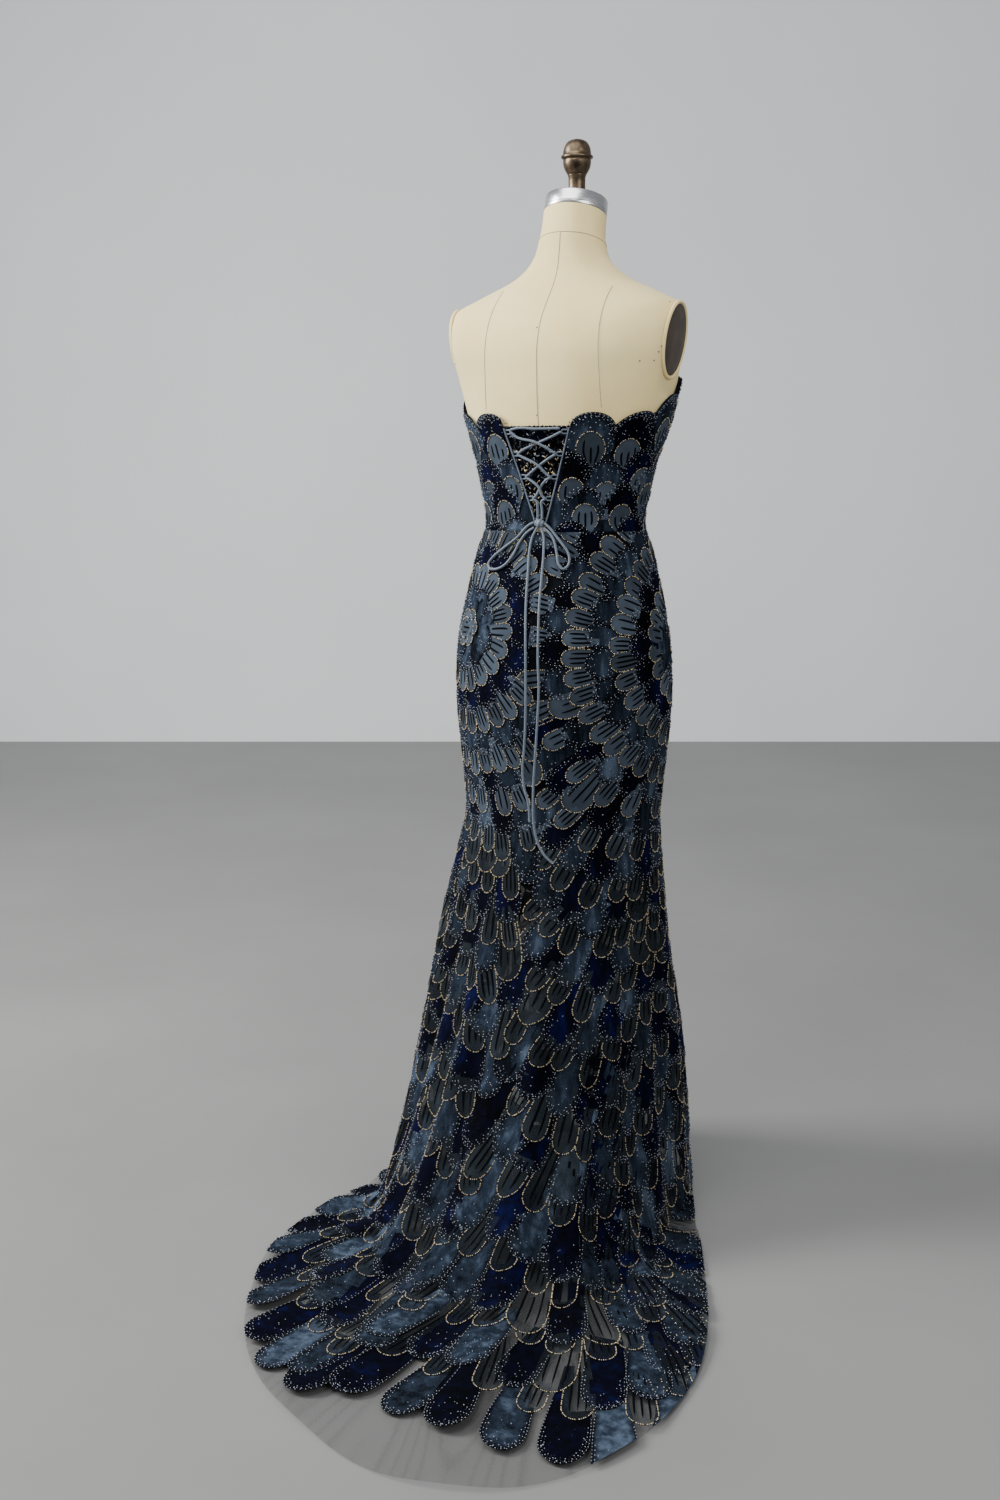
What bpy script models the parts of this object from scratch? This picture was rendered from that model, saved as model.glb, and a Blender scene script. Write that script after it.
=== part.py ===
"""Evening dress on a dress form: a strapless gown laced at the back, with a train, in metres.

The form's sizes come first, as rows of heights and depths. The dress is worked out from them: each
panel is a thin wall a little outside the form, and below the knee it sweeps out to the hem.
Directions round the body are turns in degrees: 0 is the centre back (+Y), 90 the wearer's left
side (+X), 180 the centre front and -90 the wearer's right side.
"""

from math import asin, cos, degrees, exp, pi, radians, sin, sqrt, tan

import bmesh
import bpy
import numpy as np
from mathutils import Matrix

# Cloth
CLOTH = 0.0018
SEAM = 0.0003
# Room between form and cloth: below the waist, at the bodice, and what the back adds
CLOSE_GAP = 0.0004
BODICE_GAP = 0.0023
BACK_GAP = 0.0005
BODICE_GAP_FROM_Z = 0.94
BODICE_GAP_RISE = 0.09
BACK_GAP_FROM_Z = 0.90
BACK_GAP_RISE = 0.12
MODESTY_GAP = 0.0006
MODESTY_CLOTH = 0.0013

# Heights of the dress and of the form
WAIST_Z = 1.037
KNEE_Z = 0.60
NECK_SEAM_Z = 1.457
NECK_TOP_Z = 1.500
FORM_HEIGHTS_ABOVE_WAIST = (
    1.06, 1.09, 1.12, 1.15, 1.18, 1.21, 1.24, 1.27, 1.295, 1.32,
    1.343, 1.36, 1.374, 1.386, 1.397, 1.408, 1.422, 1.44, NECK_SEAM_Z, NECK_TOP_Z,
)

# The form's level sections: height, half width, depth behind and before the axis, centre's y
FORM_SECTIONS = (
    (0.560, 0.152, 0.119, 0.106, 0.000),
    (0.600, 0.150, 0.118, 0.105, 0.000),
    (0.650, 0.154, 0.120, 0.105, 0.000),
    (0.700, 0.159, 0.125, 0.106, 0.000),
    (0.760, 0.165, 0.132, 0.108, 0.000),
    (0.820, 0.166, 0.136, 0.110, 0.000),
    (0.870, 0.163, 0.133, 0.111, 0.000),
    (0.916, 0.155, 0.124, 0.109, 0.000),
    (0.962, 0.144, 0.111, 0.105, 0.000),
    (1.007, 0.131, 0.098, 0.099, 0.000),
    (1.045, 0.118, 0.089, 0.094, 0.000),
    (1.097, 0.125, 0.090, 0.099, 0.000),
    (1.142, 0.135, 0.095, 0.108, 0.000),
    (1.186, 0.148, 0.102, 0.120, 0.000),
    (1.230, 0.160, 0.107, 0.126, 0.000),
    (1.262, 0.170, 0.109, 0.123, 0.000),
    (1.310, 0.186, 0.107, 0.112, 0.000),
    (1.343, 0.187, 0.097, 0.096, -0.004),
    (1.366, 0.175, 0.084, 0.080, -0.010),
    (1.377, 0.152, 0.077, 0.073, -0.013),
    (1.389, 0.126, 0.069, 0.067, -0.016),
    (1.400, 0.101, 0.063, 0.061, -0.018),
    (1.412, 0.080, 0.057, 0.056, -0.020),
    (1.430, 0.061, 0.052, 0.051, -0.022),
    (1.457, 0.0505, 0.048, 0.047, -0.023),
    (1.505, 0.0465, 0.045, 0.045, -0.032),
    (1.540, 0.0450, 0.043, 0.043, -0.037),
)

# The form's two soft bust rises, its flat arm ends and its tilted neck top
BUST_TURN = 139.0
BUST_Z = 1.215
BUST_RISE = 0.017
BUST_SPREAD_TURN = 25.0
BUST_SPREAD_Z = 0.060
ARM_LOW_Z = 1.258
ARM_HIGH_Z = 1.368
ARM_LOW_X = 0.159
ARM_LEAN = radians(8.3)
ARM_WIDTH = 0.094
ARM_HEIGHT = 0.112
ARM_PLATE = 0.004
ARM_PLATE_CROWN = 0.0015
ARM_PLATE_EDGE = 0.003
ARM_CENTRE_Y = -0.002
ARM_CUT_FROM_Z = 1.23
NECK_LEAN = radians(15.0)
NECK_LEAN_FROM_Z = 1.40

# Neck cap, knob and stand
CAP_RADIUS = 0.047
CAP_HEIGHT = 0.023
CAP_EDGE = 0.002
# The knob's outline from the cap up: height over the cap, radius
KNOB_OUTLINE = (
    (0.000, 0.0150),
    (0.003, 0.0130),
    (0.029, 0.0128),
    (0.035, 0.0160),
    (0.042, 0.0195),
    (0.052, 0.0210),
    (0.055, 0.0238),
    (0.058, 0.0238),
    (0.0600, 0.0212),
    (0.069, 0.0198),
    (0.076, 0.0165),
    (0.081, 0.0090),
    (0.0825, 0.0),
)
POLE_RADIUS = 0.017
# The base's outline from its underside up: height, radius
BASE_OUTLINE = (
    (0.000, 0.0),
    (0.000, 0.164),
    (0.003, 0.168),
    (0.016, 0.168),
    (0.021, 0.162),
    (0.027, 0.060),
    (0.034, 0.030),
    (0.075, 0.026),
    (0.078, 0.023),
    (0.078, 0.0),
)
BASE_TOP_Z = 0.078

# Neckline: each scallop's ends as turns, their heights, and how far each scallop rises between
SCALLOP_TURNS = (17.5, 45.5, 75.0, 103.0, 129.0, 154.5, 180.0)
SCALLOP_HEIGHTS = (1.187, 1.185, 1.200, 1.229, 1.256, 1.268, 1.258)
SCALLOP_RISES = (0.023, 0.017, 0.018, 0.019, 0.020, 0.020)
SCALLOP_COLUMNS = 5
SCALLOP_LEAST_TURN = 0.8
BODICE_ROWS = 9

# The laced opening: how far each edge is from the centre, low and high, and the panel behind it
LACE_LOW_Z = 1.052
LACE_HIGH_Z = 1.187
LACE_LOW_REACH = 0.0085
LACE_HIGH_LEFT = 0.0565
LACE_HIGH_RIGHT = 0.0480
MODESTY_HIGH_Z = 1.190
MODESTY_LOW_Z = 1.046
MODESTY_LAP = 0.026
MODESTY_COLUMNS = 10
MODESTY_ROWS = 6

# Skirt
UPPER_ROWS = 8
LOWER_ROWS = 13
BACK_COLUMNS = 18
FRONT_COLUMNS = 20
CURVE_STEPS = 40
# Where the wall would meet the floor: reach to each side, depth behind and before the axis
FOOT_LEFT = 0.244
FOOT_RIGHT = 0.206
FOOT_BACK = 0.280
FOOT_FRONT = 0.186
# Its curve: how far it drops from the knee, the share of the way out by then, and where it lands
KNEE_DROP = 0.15
KNEE_FLARE = 0.175
TOUCH_SHARE = 0.38
# How far the hem reaches from the axis: turn, radius
HEM_REACH = (
    (-180.0, 0.198),
    (-145.0, 0.200),
    (-115.0, 0.207),
    (-98.0, 0.216),
    (-83.0, 0.238),
    (-68.0, 0.289),
    (-51.0, 0.430),
    (-37.0, 0.652),
    (-29.0, 0.762),
    (-20.0, 0.838),
    (-10.0, 0.848),
    (0.0, 0.790),
    (12.0, 0.700),
    (24.0, 0.590),
    (38.0, 0.470),
    (52.0, 0.340),
    (66.0, 0.284),
    (83.0, 0.260),
    (98.0, 0.246),
    (115.0, 0.228),
    (145.0, 0.206),
    (180.0, 0.198),
)
# Soft folds: turn, half spread, rise over the valleys, where each starts between knee and hem
FOLDS = (
    (-166.0, 9.0, 0.010, 0.30),
    (-139.0, 10.0, 0.013, 0.12),
    (-112.0, 8.5, 0.011, 0.22),
    (-86.0, 8.0, 0.014, 0.10),
    (-63.0, 6.5, 0.012, 0.20),
    (-45.0, 5.5, 0.015, 0.06),
    (-29.0, 5.0, 0.013, 0.14),
    (-14.0, 5.0, 0.016, 0.04),
    (2.0, 5.0, 0.014, 0.16),
    (17.0, 5.0, 0.018, 0.02),
    (32.0, 5.5, 0.015, 0.10),
    (48.0, 6.0, 0.019, 0.03),
    (66.0, 7.0, 0.016, -0.10),
    (88.0, 8.0, 0.016, -0.12),
    (114.0, 9.0, 0.012, 0.20),
    (141.0, 9.5, 0.014, 0.10),
    (168.0, 9.0, 0.010, 0.26),
)
# Half the turn over which the wall's outward direction is taken
FACING_STEP = 0.4
FOLD_GROWTH = 0.40
FOLD_FLAT_FROM = 0.62
FOLD_FLAT_LOSS = 0.55

# Lacing, bow and loose ends
CORD = 0.0036
CORD_STEP = 0.0100
LOOP_CORD = 0.0022
LOOP_REACH = 0.0085
LOOP_HALF = 0.0028
LOOP_OUT = 0.0036
OVER_LOOP = 0.0070
CROSS_LOW = 0.0043
CROSS_HIGH = 0.0084
# The top bar is over its rung by this; its ends stop short of the bends by these, far and near
BAR_RISE = 0.0046
BAR_FAR = 0.003
BAR_NEAR = 0.010
BAR_TURN = (0.002, 0.0024)
BAR_SAG = 0.0005
RUNG_HEIGHTS = (1.1815, 1.1500, 1.1170, 1.0860)
BEND_FROM_EDGE = 0.0095
# Round each bend: the point before it and the one after it, in from the bend and up or down
BEND_BEFORE = (0.004, 0.0026)
BEND_AFTER = (0.005, 0.0030)
BEND_SINK = 0.0004
LACING_END_X = 0.0035
KNOT_Z = 1.0500
KNOT_HALF = (0.0078, 0.0046, 0.0064)
KNOT_OFF = 0.0080
# The cords' centres off the form: the loose ends on the cloth, and the bow over them
ON_CLOTH = 0.0082
BOW_OFF = 0.0094
# Routes of the bow and the loose ends as seen from behind: x towards the wearer's left, height
LOOP_LEFT = (
    (0.0087, 1.0514), (0.0152, 1.0486), (0.0363, 1.0290), (0.0619, 1.0112), (0.0800, 0.9975),
    (0.0862, 0.9895), (0.0826, 0.9832), (0.0736, 0.9819), (0.0549, 0.9876), (0.0391, 1.0049),
    (0.0310, 1.0219), (0.0190, 1.0372), (0.0082, 1.0440),
)
LOOP_RIGHT = (
    (-0.0087, 1.0507), (-0.0192, 1.0419), (-0.0277, 1.0325), (-0.0385, 1.0207),
    (-0.0479, 1.0090), (-0.0512, 0.9985), (-0.0496, 0.9895), (-0.0438, 0.9854),
    (-0.0375, 0.9905), (-0.0313, 1.0088), (-0.0250, 1.0262), (-0.0172, 1.0368),
    (-0.0082, 1.0432),
)
TAIL_LEFT = (
    (0.0034, 1.0438), (0.0100, 1.0300), (0.0122, 1.0130), (0.0108, 0.9830), (0.0078, 0.9360),
    (0.0035, 0.8900), (0.0008, 0.8500), (0.0000, 0.8100), (0.0006, 0.7600), (0.0028, 0.7180),
    (0.0050, 0.6920), (0.0018, 0.6640), (-0.0050, 0.6400), (-0.0070, 0.6140),
)
TAIL_RIGHT = (
    (-0.0034, 1.0438), (-0.0080, 1.0320), (-0.0106, 1.0120), (-0.0122, 0.9760),
    (-0.0134, 0.9400), (-0.0160, 0.9000), (-0.0186, 0.8500), (-0.0205, 0.8150),
    (-0.0185, 0.7650), (-0.0150, 0.7080), (-0.0125, 0.6650), (-0.0122, 0.6380),
    (-0.0135, 0.6112), (-0.0218, 0.5790), (-0.0330, 0.5625), (-0.0428, 0.5543),
)
HANG_Z = 0.83


def clear_scene():
    for thing in list(bpy.data.objects):
        bpy.data.objects.remove(thing, do_unlink=True)


def material(name, colour, roughness, metallic=0.0):
    found = bpy.data.materials.get(name)
    if found:
        return found
    made = bpy.data.materials.new(name)
    made.use_nodes = True
    shader = made.node_tree.nodes["Principled BSDF"]
    shader.inputs["Base Color"].default_value = (*colour, 1.0)
    shader.inputs["Roughness"].default_value = roughness
    shader.inputs["Metallic"].default_value = metallic
    made.diffuse_color = (*colour, 1.0)
    return made


def smooth(table, at):
    """Reads a table whose first column rises, by a cubic curve through its rows."""
    rows = np.array(table, float)
    keys = rows[:, 0]
    values = rows[:, 1:]
    at = min(max(at, keys[0]), keys[-1])
    low = min(max(int(np.searchsorted(keys, at)) - 1, 0), len(keys) - 2)
    slopes = np.gradient(values, keys, axis=0)
    span = keys[low + 1] - keys[low]
    share = (at - keys[low]) / span
    rest = 1.0 - share
    return (
        (1 + 2 * share) * rest * rest * values[low]
        + share * rest * rest * span * slopes[low]
        + share * share * (3 - 2 * share) * values[low + 1]
        - share * share * rest * span * slopes[low + 1]
    )


def ease(value):
    """Rises smoothly from 0 to 1 while the value does."""
    value = min(max(value, 0.0), 1.0)
    return value * value * (3 - 2 * value)


def wrap(turn):
    return (turn + 180.0) % 360.0 - 180.0


def form_point(turn, height, out=0.0):
    """A point on the form, or so far outside it, at this turn and height."""
    half, back, front, centre = smooth(FORM_SECTIONS, height)
    side, behind = sin(radians(turn)), cos(radians(turn))
    depth = back if behind > 0 else front
    off_bust = (abs(wrap(turn)) - BUST_TURN) / BUST_SPREAD_TURN
    bust = BUST_RISE * exp(-(off_bust**2) - ((height - BUST_Z) / BUST_SPREAD_Z) ** 2)
    across = np.array((side * depth, behind * half))
    across /= np.linalg.norm(across)
    x = half * side + (bust + out) * across[0]
    y = centre + depth * behind + (bust + out) * across[1]
    return np.array((x, y, height))


def cloth_gap(turn, height):
    """The room between the form and the inside of the dress."""
    close = CLOSE_GAP + (BODICE_GAP - CLOSE_GAP) * ease((height - BODICE_GAP_FROM_Z) / BODICE_GAP_RISE)
    behind = ease(2.0 * cos(radians(turn)))
    return close + BACK_GAP * behind * ease((height - BACK_GAP_FROM_Z) / BACK_GAP_RISE)


def upper_heights():
    step = (WAIST_Z - SEAM / 2 - KNEE_Z) / UPPER_ROWS
    return [WAIST_Z - SEAM / 2 - step * row for row in range(UPPER_ROWS + 1)]


def hem_reach(turn):
    return smooth(HEM_REACH, wrap(turn))[0]


def lower_column(turn):
    """Underside points of one column between knee and hem, evenly spaced along the cloth."""
    side, behind = sin(radians(turn)), cos(radians(turn))
    foot_depth = FOOT_BACK if behind > 0 else FOOT_FRONT
    knee = form_point(turn, KNEE_Z, cloth_gap(turn, KNEE_Z))
    foot_side = FOOT_LEFT if side > 0 else FOOT_RIGHT
    foot = np.array((foot_side * side, foot_depth * behind, 0.0))
    hem = hem_reach(turn) * np.array((side, behind, 0.0))
    touch = foot + TOUCH_SHARE * (hem - foot)
    outward = (foot - knee) * np.array((1, 1, 0))
    below = knee + KNEE_FLARE * outward - np.array((0, 0, KNEE_DROP))
    shares = np.linspace(0, 1, CURVE_STEPS)[:, None]
    rest = 1 - shares
    curve = (
        rest**3 * knee
        + 3 * rest**2 * shares * below
        + 3 * rest * shares**2 * foot
        + shares**3 * touch
    )
    flat = touch + np.linspace(0, 1, CURVE_STEPS)[1:, None] * (hem - touch)
    path = np.vstack((curve, flat))
    lengths = np.concatenate(([0.0], np.cumsum(np.linalg.norm(np.diff(path, axis=0), axis=1))))
    wanted = np.linspace(0, lengths[-1], LOWER_ROWS + 1)
    return np.column_stack([np.interp(wanted, lengths, path[:, axis]) for axis in range(3)])


def skirt_column(turn):
    upper = [form_point(turn, z, cloth_gap(turn, z)) for z in upper_heights()[:-1]]
    return np.vstack((upper, lower_column(turn)))


def fold_rise(turn, row):
    """How far the folds lift the cloth at this turn and row."""
    share = (row - UPPER_ROWS) / LOWER_ROWS
    rise = 0.0
    for fold_turn, spread, height, start in FOLDS:
        off = wrap(turn - fold_turn) / spread
        grown = ease((share - start) / FOLD_GROWTH)
        rise += height * grown * exp(-off * off)
    return rise * (1 - FOLD_FLAT_LOSS * ease((share - FOLD_FLAT_FROM) / (1 - FOLD_FLAT_FROM)))


def skirt_wall(turns, edge_moves):
    """Inner and outer points of a skirt panel, rows by columns; its edges are moved apart."""
    inner, outer = [], []
    for turn, move in zip(turns, edge_moves):
        column = skirt_column(turn)
        around = skirt_column(turn + FACING_STEP) - skirt_column(turn - FACING_STEP)
        along = np.gradient(column, axis=0)
        out = np.cross(along, around)
        out[0] = out[0] * np.array((1, 1, 0))
        out /= np.linalg.norm(out, axis=1)[:, None]
        facing = np.array((sin(radians(turn)), cos(radians(turn)), 0.0))
        if out[0] @ facing < 0:
            out = -out
        rises = np.array([fold_rise(turn, row) for row in range(len(column))])[:, None]
        under = column + out * rises
        inner.append(under + move)
        outer.append(under + out * CLOTH + move)
    return np.array(inner).swapaxes(0, 1), np.array(outer).swapaxes(0, 1)


def add_object(name, bm, skin, flat=False):
    bmesh.ops.recalc_face_normals(bm, faces=bm.faces)
    mesh = bpy.data.meshes.new(name)
    bm.to_mesh(mesh)
    bm.free()
    thing = bpy.data.objects.new(name, mesh)
    bpy.context.scene.collection.objects.link(thing)
    mesh.materials.append(skin)
    if not flat:
        mesh.shade_smooth()
        mesh.set_sharp_from_angle(angle=radians(40))
    return thing


def wall_object(name, inner, outer, skin):
    """A closed thin wall between two grids of points, rows by columns."""
    bm = bmesh.new()
    rows, columns = inner.shape[:2]
    inside = [[bm.verts.new(point) for point in row] for row in inner]
    outside = [[bm.verts.new(point) for point in row] for row in outer]
    for r in range(rows - 1):
        for c in range(columns - 1):
            corners = [(r, c), (r, c + 1), (r + 1, c + 1), (r + 1, c)]
            falling = np.linalg.norm(inner[r, c] - inner[r + 1, c + 1])
            rising = np.linalg.norm(inner[r, c + 1] - inner[r + 1, c])
            if rising < falling:
                corners = corners[1:] + corners[:1]
            # Both sides are cut along one diagonal, so that the wall is as thick between its points
            for grid in (inside, outside):
                first, second, third, fourth = [grid[i][j] for i, j in corners]
                bm.faces.new((first, second, third))
                bm.faces.new((first, third, fourth))
    edge = [(0, c) for c in range(columns)]
    edge += [(r, columns - 1) for r in range(1, rows)]
    edge += [(rows - 1, c) for c in range(columns - 2, -1, -1)]
    edge += [(r, 0) for r in range(rows - 2, 0, -1)]
    for (r0, c0), (r1, c1) in zip(edge, edge[1:] + edge[:1]):
        bm.faces.new((inside[r0][c0], outside[r0][c0], outside[r1][c1], inside[r1][c1]))
    return add_object(name, bm, skin)


def ring_object(name, rings, skin, flat=False):
    """A closed body through rings of points, with flat ends; a ring of one point is a tip."""
    bm = bmesh.new()
    made = [[bm.verts.new(point) for point in ring] for ring in rings]
    for low, high in zip(made, made[1:]):
        count = max(len(low), len(high))
        for i in range(count):
            j = (i + 1) % count
            pair = [low[i % len(low)], low[j % len(low)]]
            pair += [high[j % len(high)], high[i % len(high)]]
            bm.faces.new(list(dict.fromkeys(pair)))
    for ring in (made[0], made[-1]):
        if len(ring) > 2:
            bm.faces.new(ring)
    return add_object(name, bm, skin, flat)


def turned_object(name, outline, sides, centre, skin):
    """A turned body from rows of height and radius over a centre."""
    rings = []
    for height, radius in outline:
        if radius == 0:
            rings.append([centre + np.array((0, 0, height))])
            continue
        angles = [2 * pi * side / sides for side in range(sides)]
        rings.append([centre + np.array((radius * cos(a), radius * sin(a), height)) for a in angles])
    return ring_object(name, rings, skin)


def make_skirt():
    back = np.linspace(0, 90, BACK_COLUMNS + 1)
    front = np.linspace(90, 270, FRONT_COLUMNS + 1)
    apart = SEAM / 2
    still = np.zeros(3)
    panels = (
        ("skirt_back_left", back, (apart, 0, 0), (0, apart, 0), "skirt_left"),
        ("skirt_front", front, (0, -apart, 0), (0, -apart, 0), "skirt_front"),
        ("skirt_back_right", back - 90, (0, apart, 0), (-apart, 0, 0), "skirt_right"),
    )
    colours = {
        "skirt_left": (0.07, 0.10, 0.17),
        "skirt_front": (0.06, 0.08, 0.13),
        "skirt_right": (0.06, 0.09, 0.14),
    }
    for name, turns, first, last, skin in panels:
        moves = [still] * len(turns)
        moves[0] = np.array(first)
        moves[-1] = np.array(last)
        inner, outer = skirt_wall(turns, moves)
        inner[:, :, 2] = np.maximum(inner[:, :, 2], 0.0)
        wall_object(name, inner, outer, material(skin, colours[skin], 0.75))


def neckline(turn):
    """Height of the bodice's scalloped top edge."""
    at = min(max(abs(wrap(turn)), SCALLOP_TURNS[0]), SCALLOP_TURNS[-1])
    lobe = min(int(np.searchsorted(SCALLOP_TURNS, at, side="right")) - 1, len(SCALLOP_RISES) - 1)
    span = SCALLOP_TURNS[lobe + 1] - SCALLOP_TURNS[lobe]
    share = (at - SCALLOP_TURNS[lobe]) / span
    base = np.interp(at, SCALLOP_TURNS, SCALLOP_HEIGHTS)
    return base + SCALLOP_RISES[lobe] * sqrt(max(1 - (2 * share - 1) ** 2, 0.0))


def scallop_columns(first_turn, last_turn):
    """Turns of the columns from one place to another, closer together at each scallop's ends."""
    turns = [first_turn, last_turn]
    for low, high in zip(SCALLOP_TURNS, SCALLOP_TURNS[1:]):
        for step in range(SCALLOP_COLUMNS + 1):
            turn = low + (high - low) * (1 - cos(pi * step / SCALLOP_COLUMNS)) / 2
            turns.append(turn)
            turns.append(360.0 - turn)
    turns = sorted(turn for turn in turns if first_turn - 1e-6 <= turn <= last_turn + 1e-6)
    kept = [turns[0]]
    for turn in turns[1:]:
        if turn - kept[-1] > SCALLOP_LEAST_TURN:
            kept.append(turn)
    kept[-1] = last_turn
    return kept


def lace_reach(height, side):
    """How far a laced edge is from the centre back; side is 1 for the left panel, -1 for the right."""
    share = (height - LACE_LOW_Z) / (LACE_HIGH_Z - LACE_LOW_Z)
    high = LACE_HIGH_LEFT if side > 0 else LACE_HIGH_RIGHT
    return LACE_LOW_REACH + (high - LACE_LOW_REACH) * min(max(share, 0.0), 1.0)


def turn_of(x, height, out=0.0):
    """The turn at which the back of the form has this x."""
    return degrees(asin(x / (smooth(FORM_SECTIONS, height)[0] + out)))


def bodice_wall(columns, laced_side=0):
    """Inner and outer points of a bodice panel, up to its scallops; a side means a laced edge."""
    inner, outer = [], []
    for top_turn in columns:
        top_z = neckline(top_turn)
        inner_column, outer_column = [], []
        for row in range(BODICE_ROWS + 1):
            z = WAIST_Z + SEAM / 2 + (top_z - WAIST_Z - SEAM / 2) * row / BODICE_ROWS
            turn = top_turn
            if laced_side:
                share = (top_turn - columns[0]) / (columns[-1] - columns[0])
                edge = turn_of(lace_reach(z, laced_side), z)
                turn = edge + share * (columns[-1] - edge)
            gap = cloth_gap(turn, z)
            inner_column.append(form_point(turn, z, gap))
            outer_column.append(form_point(turn, z, gap + CLOTH))
        inner.append(inner_column)
        outer.append(outer_column)
    return np.array(inner).swapaxes(0, 1), np.array(outer).swapaxes(0, 1)


def make_bodice():
    apart = SEAM / 2
    skin = material("bodice_back", (0.05, 0.07, 0.12), 0.75)
    for name, side in (("bodice_back_left", 1), ("bodice_back_right", -1)):
        inner, outer = bodice_wall(scallop_columns(SCALLOP_TURNS[0], 90.0), side)
        for grid in (inner, outer):
            grid[:, -1, 1] += apart
            grid[:, :, 0] *= side
        wall_object(name, inner, outer, skin)
    inner, outer = bodice_wall(scallop_columns(90.0, 270.0))
    for grid in (inner, outer):
        grid[:, 0, 1] -= apart
        grid[:, -1, 1] -= apart
    wall_object("bodice_front", inner, outer, material("bodice_front", (0.06, 0.08, 0.14), 0.75))


def make_modesty_panel():
    inner, outer = [], []
    for row in range(MODESTY_ROWS + 1):
        z = MODESTY_LOW_Z + (MODESTY_HIGH_Z - MODESTY_LOW_Z) * row / MODESTY_ROWS
        right = turn_of(-lace_reach(z, -1) - MODESTY_LAP, z)
        left = turn_of(lace_reach(z, 1) + MODESTY_LAP, z)
        turns = np.linspace(right, left, MODESTY_COLUMNS + 1)
        inner.append([form_point(turn, z, MODESTY_GAP) for turn in turns])
        outer.append([form_point(turn, z, MODESTY_GAP + MODESTY_CLOTH) for turn in turns])
    skin = material("modesty_panel", (0.03, 0.035, 0.06), 0.5)
    wall_object("modesty_panel", np.array(inner), np.array(outer), skin)


def form_turns():
    """The turns round the form: every second one of the skirt's back, and all of its front."""
    back = np.linspace(-90, 90, BACK_COLUMNS + 1)
    front = np.linspace(90, 270, FRONT_COLUMNS + 1)
    return list(back[:-1]) + list(front[:-1])


def make_torso():
    rings = []
    heights = upper_heights()[-2::-1] + list(FORM_HEIGHTS_ABOVE_WAIST)
    for z in heights:
        ring = []
        leaning = ease((z - NECK_LEAN_FROM_Z) / (NECK_SEAM_Z - NECK_LEAN_FROM_Z))
        for turn in form_turns():
            point = form_point(turn, z)
            limit = ARM_LOW_X + (z - ARM_LOW_Z) * tan(ARM_LEAN)
            if z > ARM_CUT_FROM_Z:
                point[0] = min(max(point[0], -limit), limit)
            point[2] += leaning * tan(NECK_LEAN) * (point[1] - smooth(FORM_SECTIONS, z)[3])
            ring.append(point)
        rings.append(ring)
    ring_object("form_torso", rings, material("form_linen", (0.72, 0.66, 0.52), 0.9))


def make_arm_plates():
    sides = 24
    for name, side in (("arm_plate_left", 1), ("arm_plate_right", -1)):
        middle_z = (ARM_LOW_Z + ARM_HIGH_Z) / 2
        middle_x = ARM_LOW_X + (middle_z - ARM_LOW_Z) * tan(ARM_LEAN)
        place = Matrix.Translation((side * middle_x, ARM_CENTRE_Y, middle_z))
        place = place @ Matrix.Rotation(side * (pi / 2 + ARM_LEAN), 4, "Y")
        rings = []
        crown = (ARM_PLATE + ARM_PLATE_CROWN, ARM_PLATE_EDGE)
        for off, shrink in ((SEAM, 0.0), (ARM_PLATE, 0.0), crown):
            ring = []
            for step in range(sides):
                angle = 2 * pi * step / sides
                local = Matrix.Translation((
                    (ARM_HEIGHT / 2 - shrink) * cos(angle),
                    (ARM_WIDTH / 2 - shrink) * sin(angle),
                    off,
                ))
                ring.append(np.array((place @ local).translation))
            rings.append(ring)
        ring_object(name, rings, material("arm_plate", (0.09, 0.06, 0.035), 0.6))


def neck_centre():
    return np.array((0.0, smooth(FORM_SECTIONS, NECK_TOP_Z)[3], NECK_TOP_Z))


def make_cap_and_knob():
    sides = 28
    lean = Matrix.Rotation(NECK_LEAN, 4, "X")
    rings = []
    outline = (
        (SEAM, CAP_EDGE / 2), (CAP_EDGE, 0.0), (CAP_HEIGHT - CAP_EDGE, 0.0), (CAP_HEIGHT, CAP_EDGE / 2)
    )
    for height, shrink in outline:
        ring = []
        for step in range(sides):
            angle = 2 * pi * step / sides
            radius = CAP_RADIUS - shrink
            local = Matrix.Translation((radius * cos(angle), radius * sin(angle), height))
            ring.append(neck_centre() + np.array((lean @ local).translation))
        rings.append(ring)
    ring_object("neck_cap", rings, material("neck_cap", (0.55, 0.55, 0.55), 0.3, 1.0))
    middle = neck_centre() + np.array((lean @ Matrix.Translation((0, 0, CAP_HEIGHT))).translation)
    rise = KNOB_OUTLINE[0][1] * sin(NECK_LEAN) + SEAM
    turned_object(
        "knob", KNOB_OUTLINE, 20, middle + np.array((0, 0, rise)),
        material("knob", (0.16, 0.12, 0.08), 0.45, 0.6),
    )


def make_stand():
    steel = material("stand", (0.05, 0.05, 0.055), 0.4, 0.7)
    turned_object("stand_base", BASE_OUTLINE, 30, np.zeros(3), steel)
    top = upper_heights()[-2] - SEAM
    outline = ((BASE_TOP_Z + SEAM, POLE_RADIUS), (top, POLE_RADIUS))
    turned_object("stand_pole", outline, 24, np.zeros(3), steel)


def curve_through(route, step):
    """Evenly spaced points on a smooth curve through the route's own points."""
    route = np.array(route, float)
    knots = np.concatenate(([0.0], np.cumsum(np.linalg.norm(np.diff(route, axis=0), axis=1))))
    table = np.column_stack((knots, route))
    fine = np.array([smooth(table, at) for at in np.linspace(0, knots[-1], 12 * len(route))])
    lengths = np.concatenate(([0.0], np.cumsum(np.linalg.norm(np.diff(fine, axis=0), axis=1))))
    count = max(int(round(lengths[-1] / step)), 6)
    wanted = np.linspace(0, lengths[-1], count + 1)
    return np.column_stack([np.interp(wanted, lengths, fine[:, axis]) for axis in range(3)])


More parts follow.
